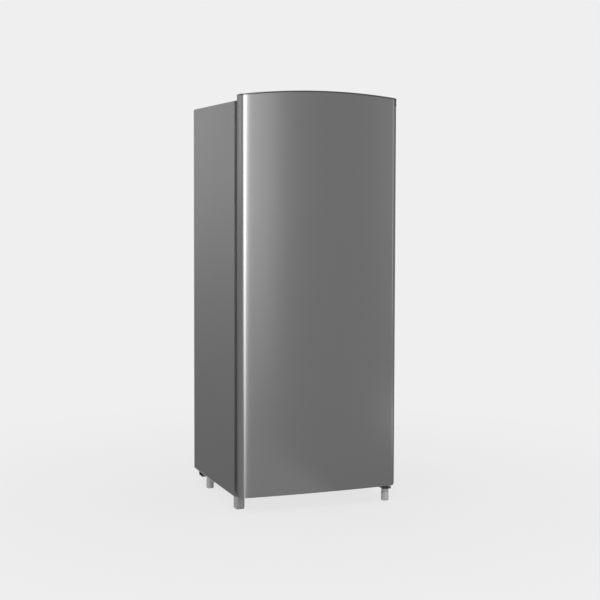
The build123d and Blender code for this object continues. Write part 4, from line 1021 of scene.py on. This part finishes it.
def dimmed_below(lamp, height, least):
    """Dims an upright lamp from full brightness at a height down to its least share at the floor."""
    lamp.data.use_nodes = True
    tree = lamp.data.node_tree
    place = tree.nodes.new("ShaderNodeNewGeometry")
    axes = tree.nodes.new("ShaderNodeSeparateXYZ")
    share = tree.nodes.new("ShaderNodeMapRange")
    share.inputs["From Max"].default_value = height
    share.inputs["To Min"].default_value = least
    tree.links.new(place.outputs["Position"], axes.inputs[0])
    tree.links.new(axes.outputs["Z"], share.inputs["Value"])
    tree.links.new(share.outputs["Result"], tree.nodes["Emission"].inputs["Strength"])


def make_floor(stage):
    """Lays the floor and sets the surroundings."""
    half = 12.0
    corners = [(-half, -half, 0), (half, -half, 0), (half, half, 0), (-half, half, 0)]
    mesh = bpy.data.meshes.new("floor")
    mesh.from_pydata(corners, [], [(0, 1, 2, 3)])
    mesh.materials.append(floor_material(stage.background))
    placed("floor", mesh)
    backdrop_world(stage.background, stage.daylight)


def make_lights(stage):
    """Sets the strip beside the door's left edge, the front and side lights, and the room light."""
    strip = softbox("edge_strip", (-0.2325, -0.309, 0.625), (-0.2325, 0.0, 0.625), 0.043, 1.25, stage.key)
    dimmed_below(strip, 1.1, 0.12)
    glow = softbox("glow_softbox", (-0.27, -1.6, 1.2), (-0.2, -0.25, 1.2), 0.98, 2.4, stage.glow)
    dimmed_below(glow, 0.87, 0.15)
    softbox("floor_softbox", (-0.15, -1.1, 0.01), (-0.15, -1.1, 2.0), 0.5, 1.5, 0.15 * stage.glow)
    flank = softbox("flank_softbox", (-0.93, -1.57, 1.2), (-0.23, -0.25, 1.2), 0.55, 2.4, 2.0 * stage.glow)
    dimmed_below(flank, 0.87, 0.15)
    softbox("side_softbox", (-1.2, 2.4, 1.75), (-0.24, 0.0, 1.6), 2.6, 2.2, stage.side)
    softbox("left_softbox", (-2.5, 0.1, 1.7), (0, 0.1, 1.7), 2.8, 1.6, stage.left)
    softbox("fill_softbox", (2.15, -1.94, 1.25), (0.24, -0.25, 0.8), 1.2, 2.1, stage.fill)
    softbox("right_floor_softbox", (1.4, -0.95, 0.01), (1.4, -0.95, 2.0), 1.1, 1.1, 0.9 * stage.fill)
    softbox("room_softbox", (-1.5, -3.3, 1.9), (0, 0, 0.6), 1.8, 1.8, stage.room, matt=True, glossy=False)


def make_camera(stage):
    """Sets the camera with its yaw, pitch and roll."""
    data = bpy.data.cameras.new("camera")
    data.sensor_width = 36.0
    data.lens = stage.lens
    data.shift_y = stage.shift
    camera = placed("camera", data)
    camera.location = stage.camera_place
    yaw = Matrix.Rotation(-stage.camera_yaw, 3, "Z")
    pitch = Matrix.Rotation(math.pi / 2 + stage.camera_pitch, 3, "X")
    roll = Matrix.Rotation(stage.camera_roll, 3, "Z")
    camera.rotation_euler = (yaw @ pitch @ roll).to_euler()
    bpy.context.scene.camera = camera


class REFRIGERATOR_OT_stage(bpy.types.Operator):
    """Makes the floor, the lights and the camera"""

    bl_idname = "refrigerator.stage"
    bl_label = "Stage"

    def execute(self, context):
        stage = context.scene.refrigerator_stage
        make_floor(stage)
        make_lights(stage)
        make_camera(stage)
        context.scene.view_settings.view_transform = "Standard"
        return {"FINISHED"}


class REFRIGERATOR_PT_panel(bpy.types.Panel):
    """Lists the pieces"""

    bl_idname = "REFRIGERATOR_PT_panel"
    bl_label = "Refrigerator"
    bl_space_type = "VIEW_3D"
    bl_region_type = "UI"
    bl_category = "Refrigerator"

    def draw(self, context):
        for operator in OPERATORS:
            self.layout.operator(operator.bl_idname)


OPERATORS = (
    REFRIGERATOR_OT_finishes,
    REFRIGERATOR_OT_rounded_pieces,
    REFRIGERATOR_OT_condenser,
    REFRIGERATOR_OT_compressor,
    REFRIGERATOR_OT_circuit,
    REFRIGERATOR_OT_door_seal,
    REFRIGERATOR_OT_feet,
    REFRIGERATOR_OT_screws,
    REFRIGERATOR_OT_cold_box,
    REFRIGERATOR_OT_dial,
    REFRIGERATOR_OT_stage,
)
CLASSES = (FinishSettings, DetailSettings, StageSettings, *OPERATORS, REFRIGERATOR_PT_panel)


def register():
    for cls in CLASSES:
        bpy.utils.register_class(cls)
    bpy.types.Scene.refrigerator_finish = PointerProperty(type=FinishSettings)
    bpy.types.Scene.refrigerator_detail = PointerProperty(type=DetailSettings)
    bpy.types.Scene.refrigerator_stage = PointerProperty(type=StageSettings)


def unregister():
    del bpy.types.Scene.refrigerator_stage
    del bpy.types.Scene.refrigerator_detail
    del bpy.types.Scene.refrigerator_finish
    for cls in reversed(CLASSES):
        bpy.utils.unregister_class(cls)


def main():
    """Registers the add-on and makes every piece."""
    register()
    tube_tree()
    repeat_tree()
    for operator in OPERATORS:
        group, name = operator.bl_idname.split(".")
        getattr(getattr(bpy.ops, group), name)()


if __name__ == "__main__":
    main()
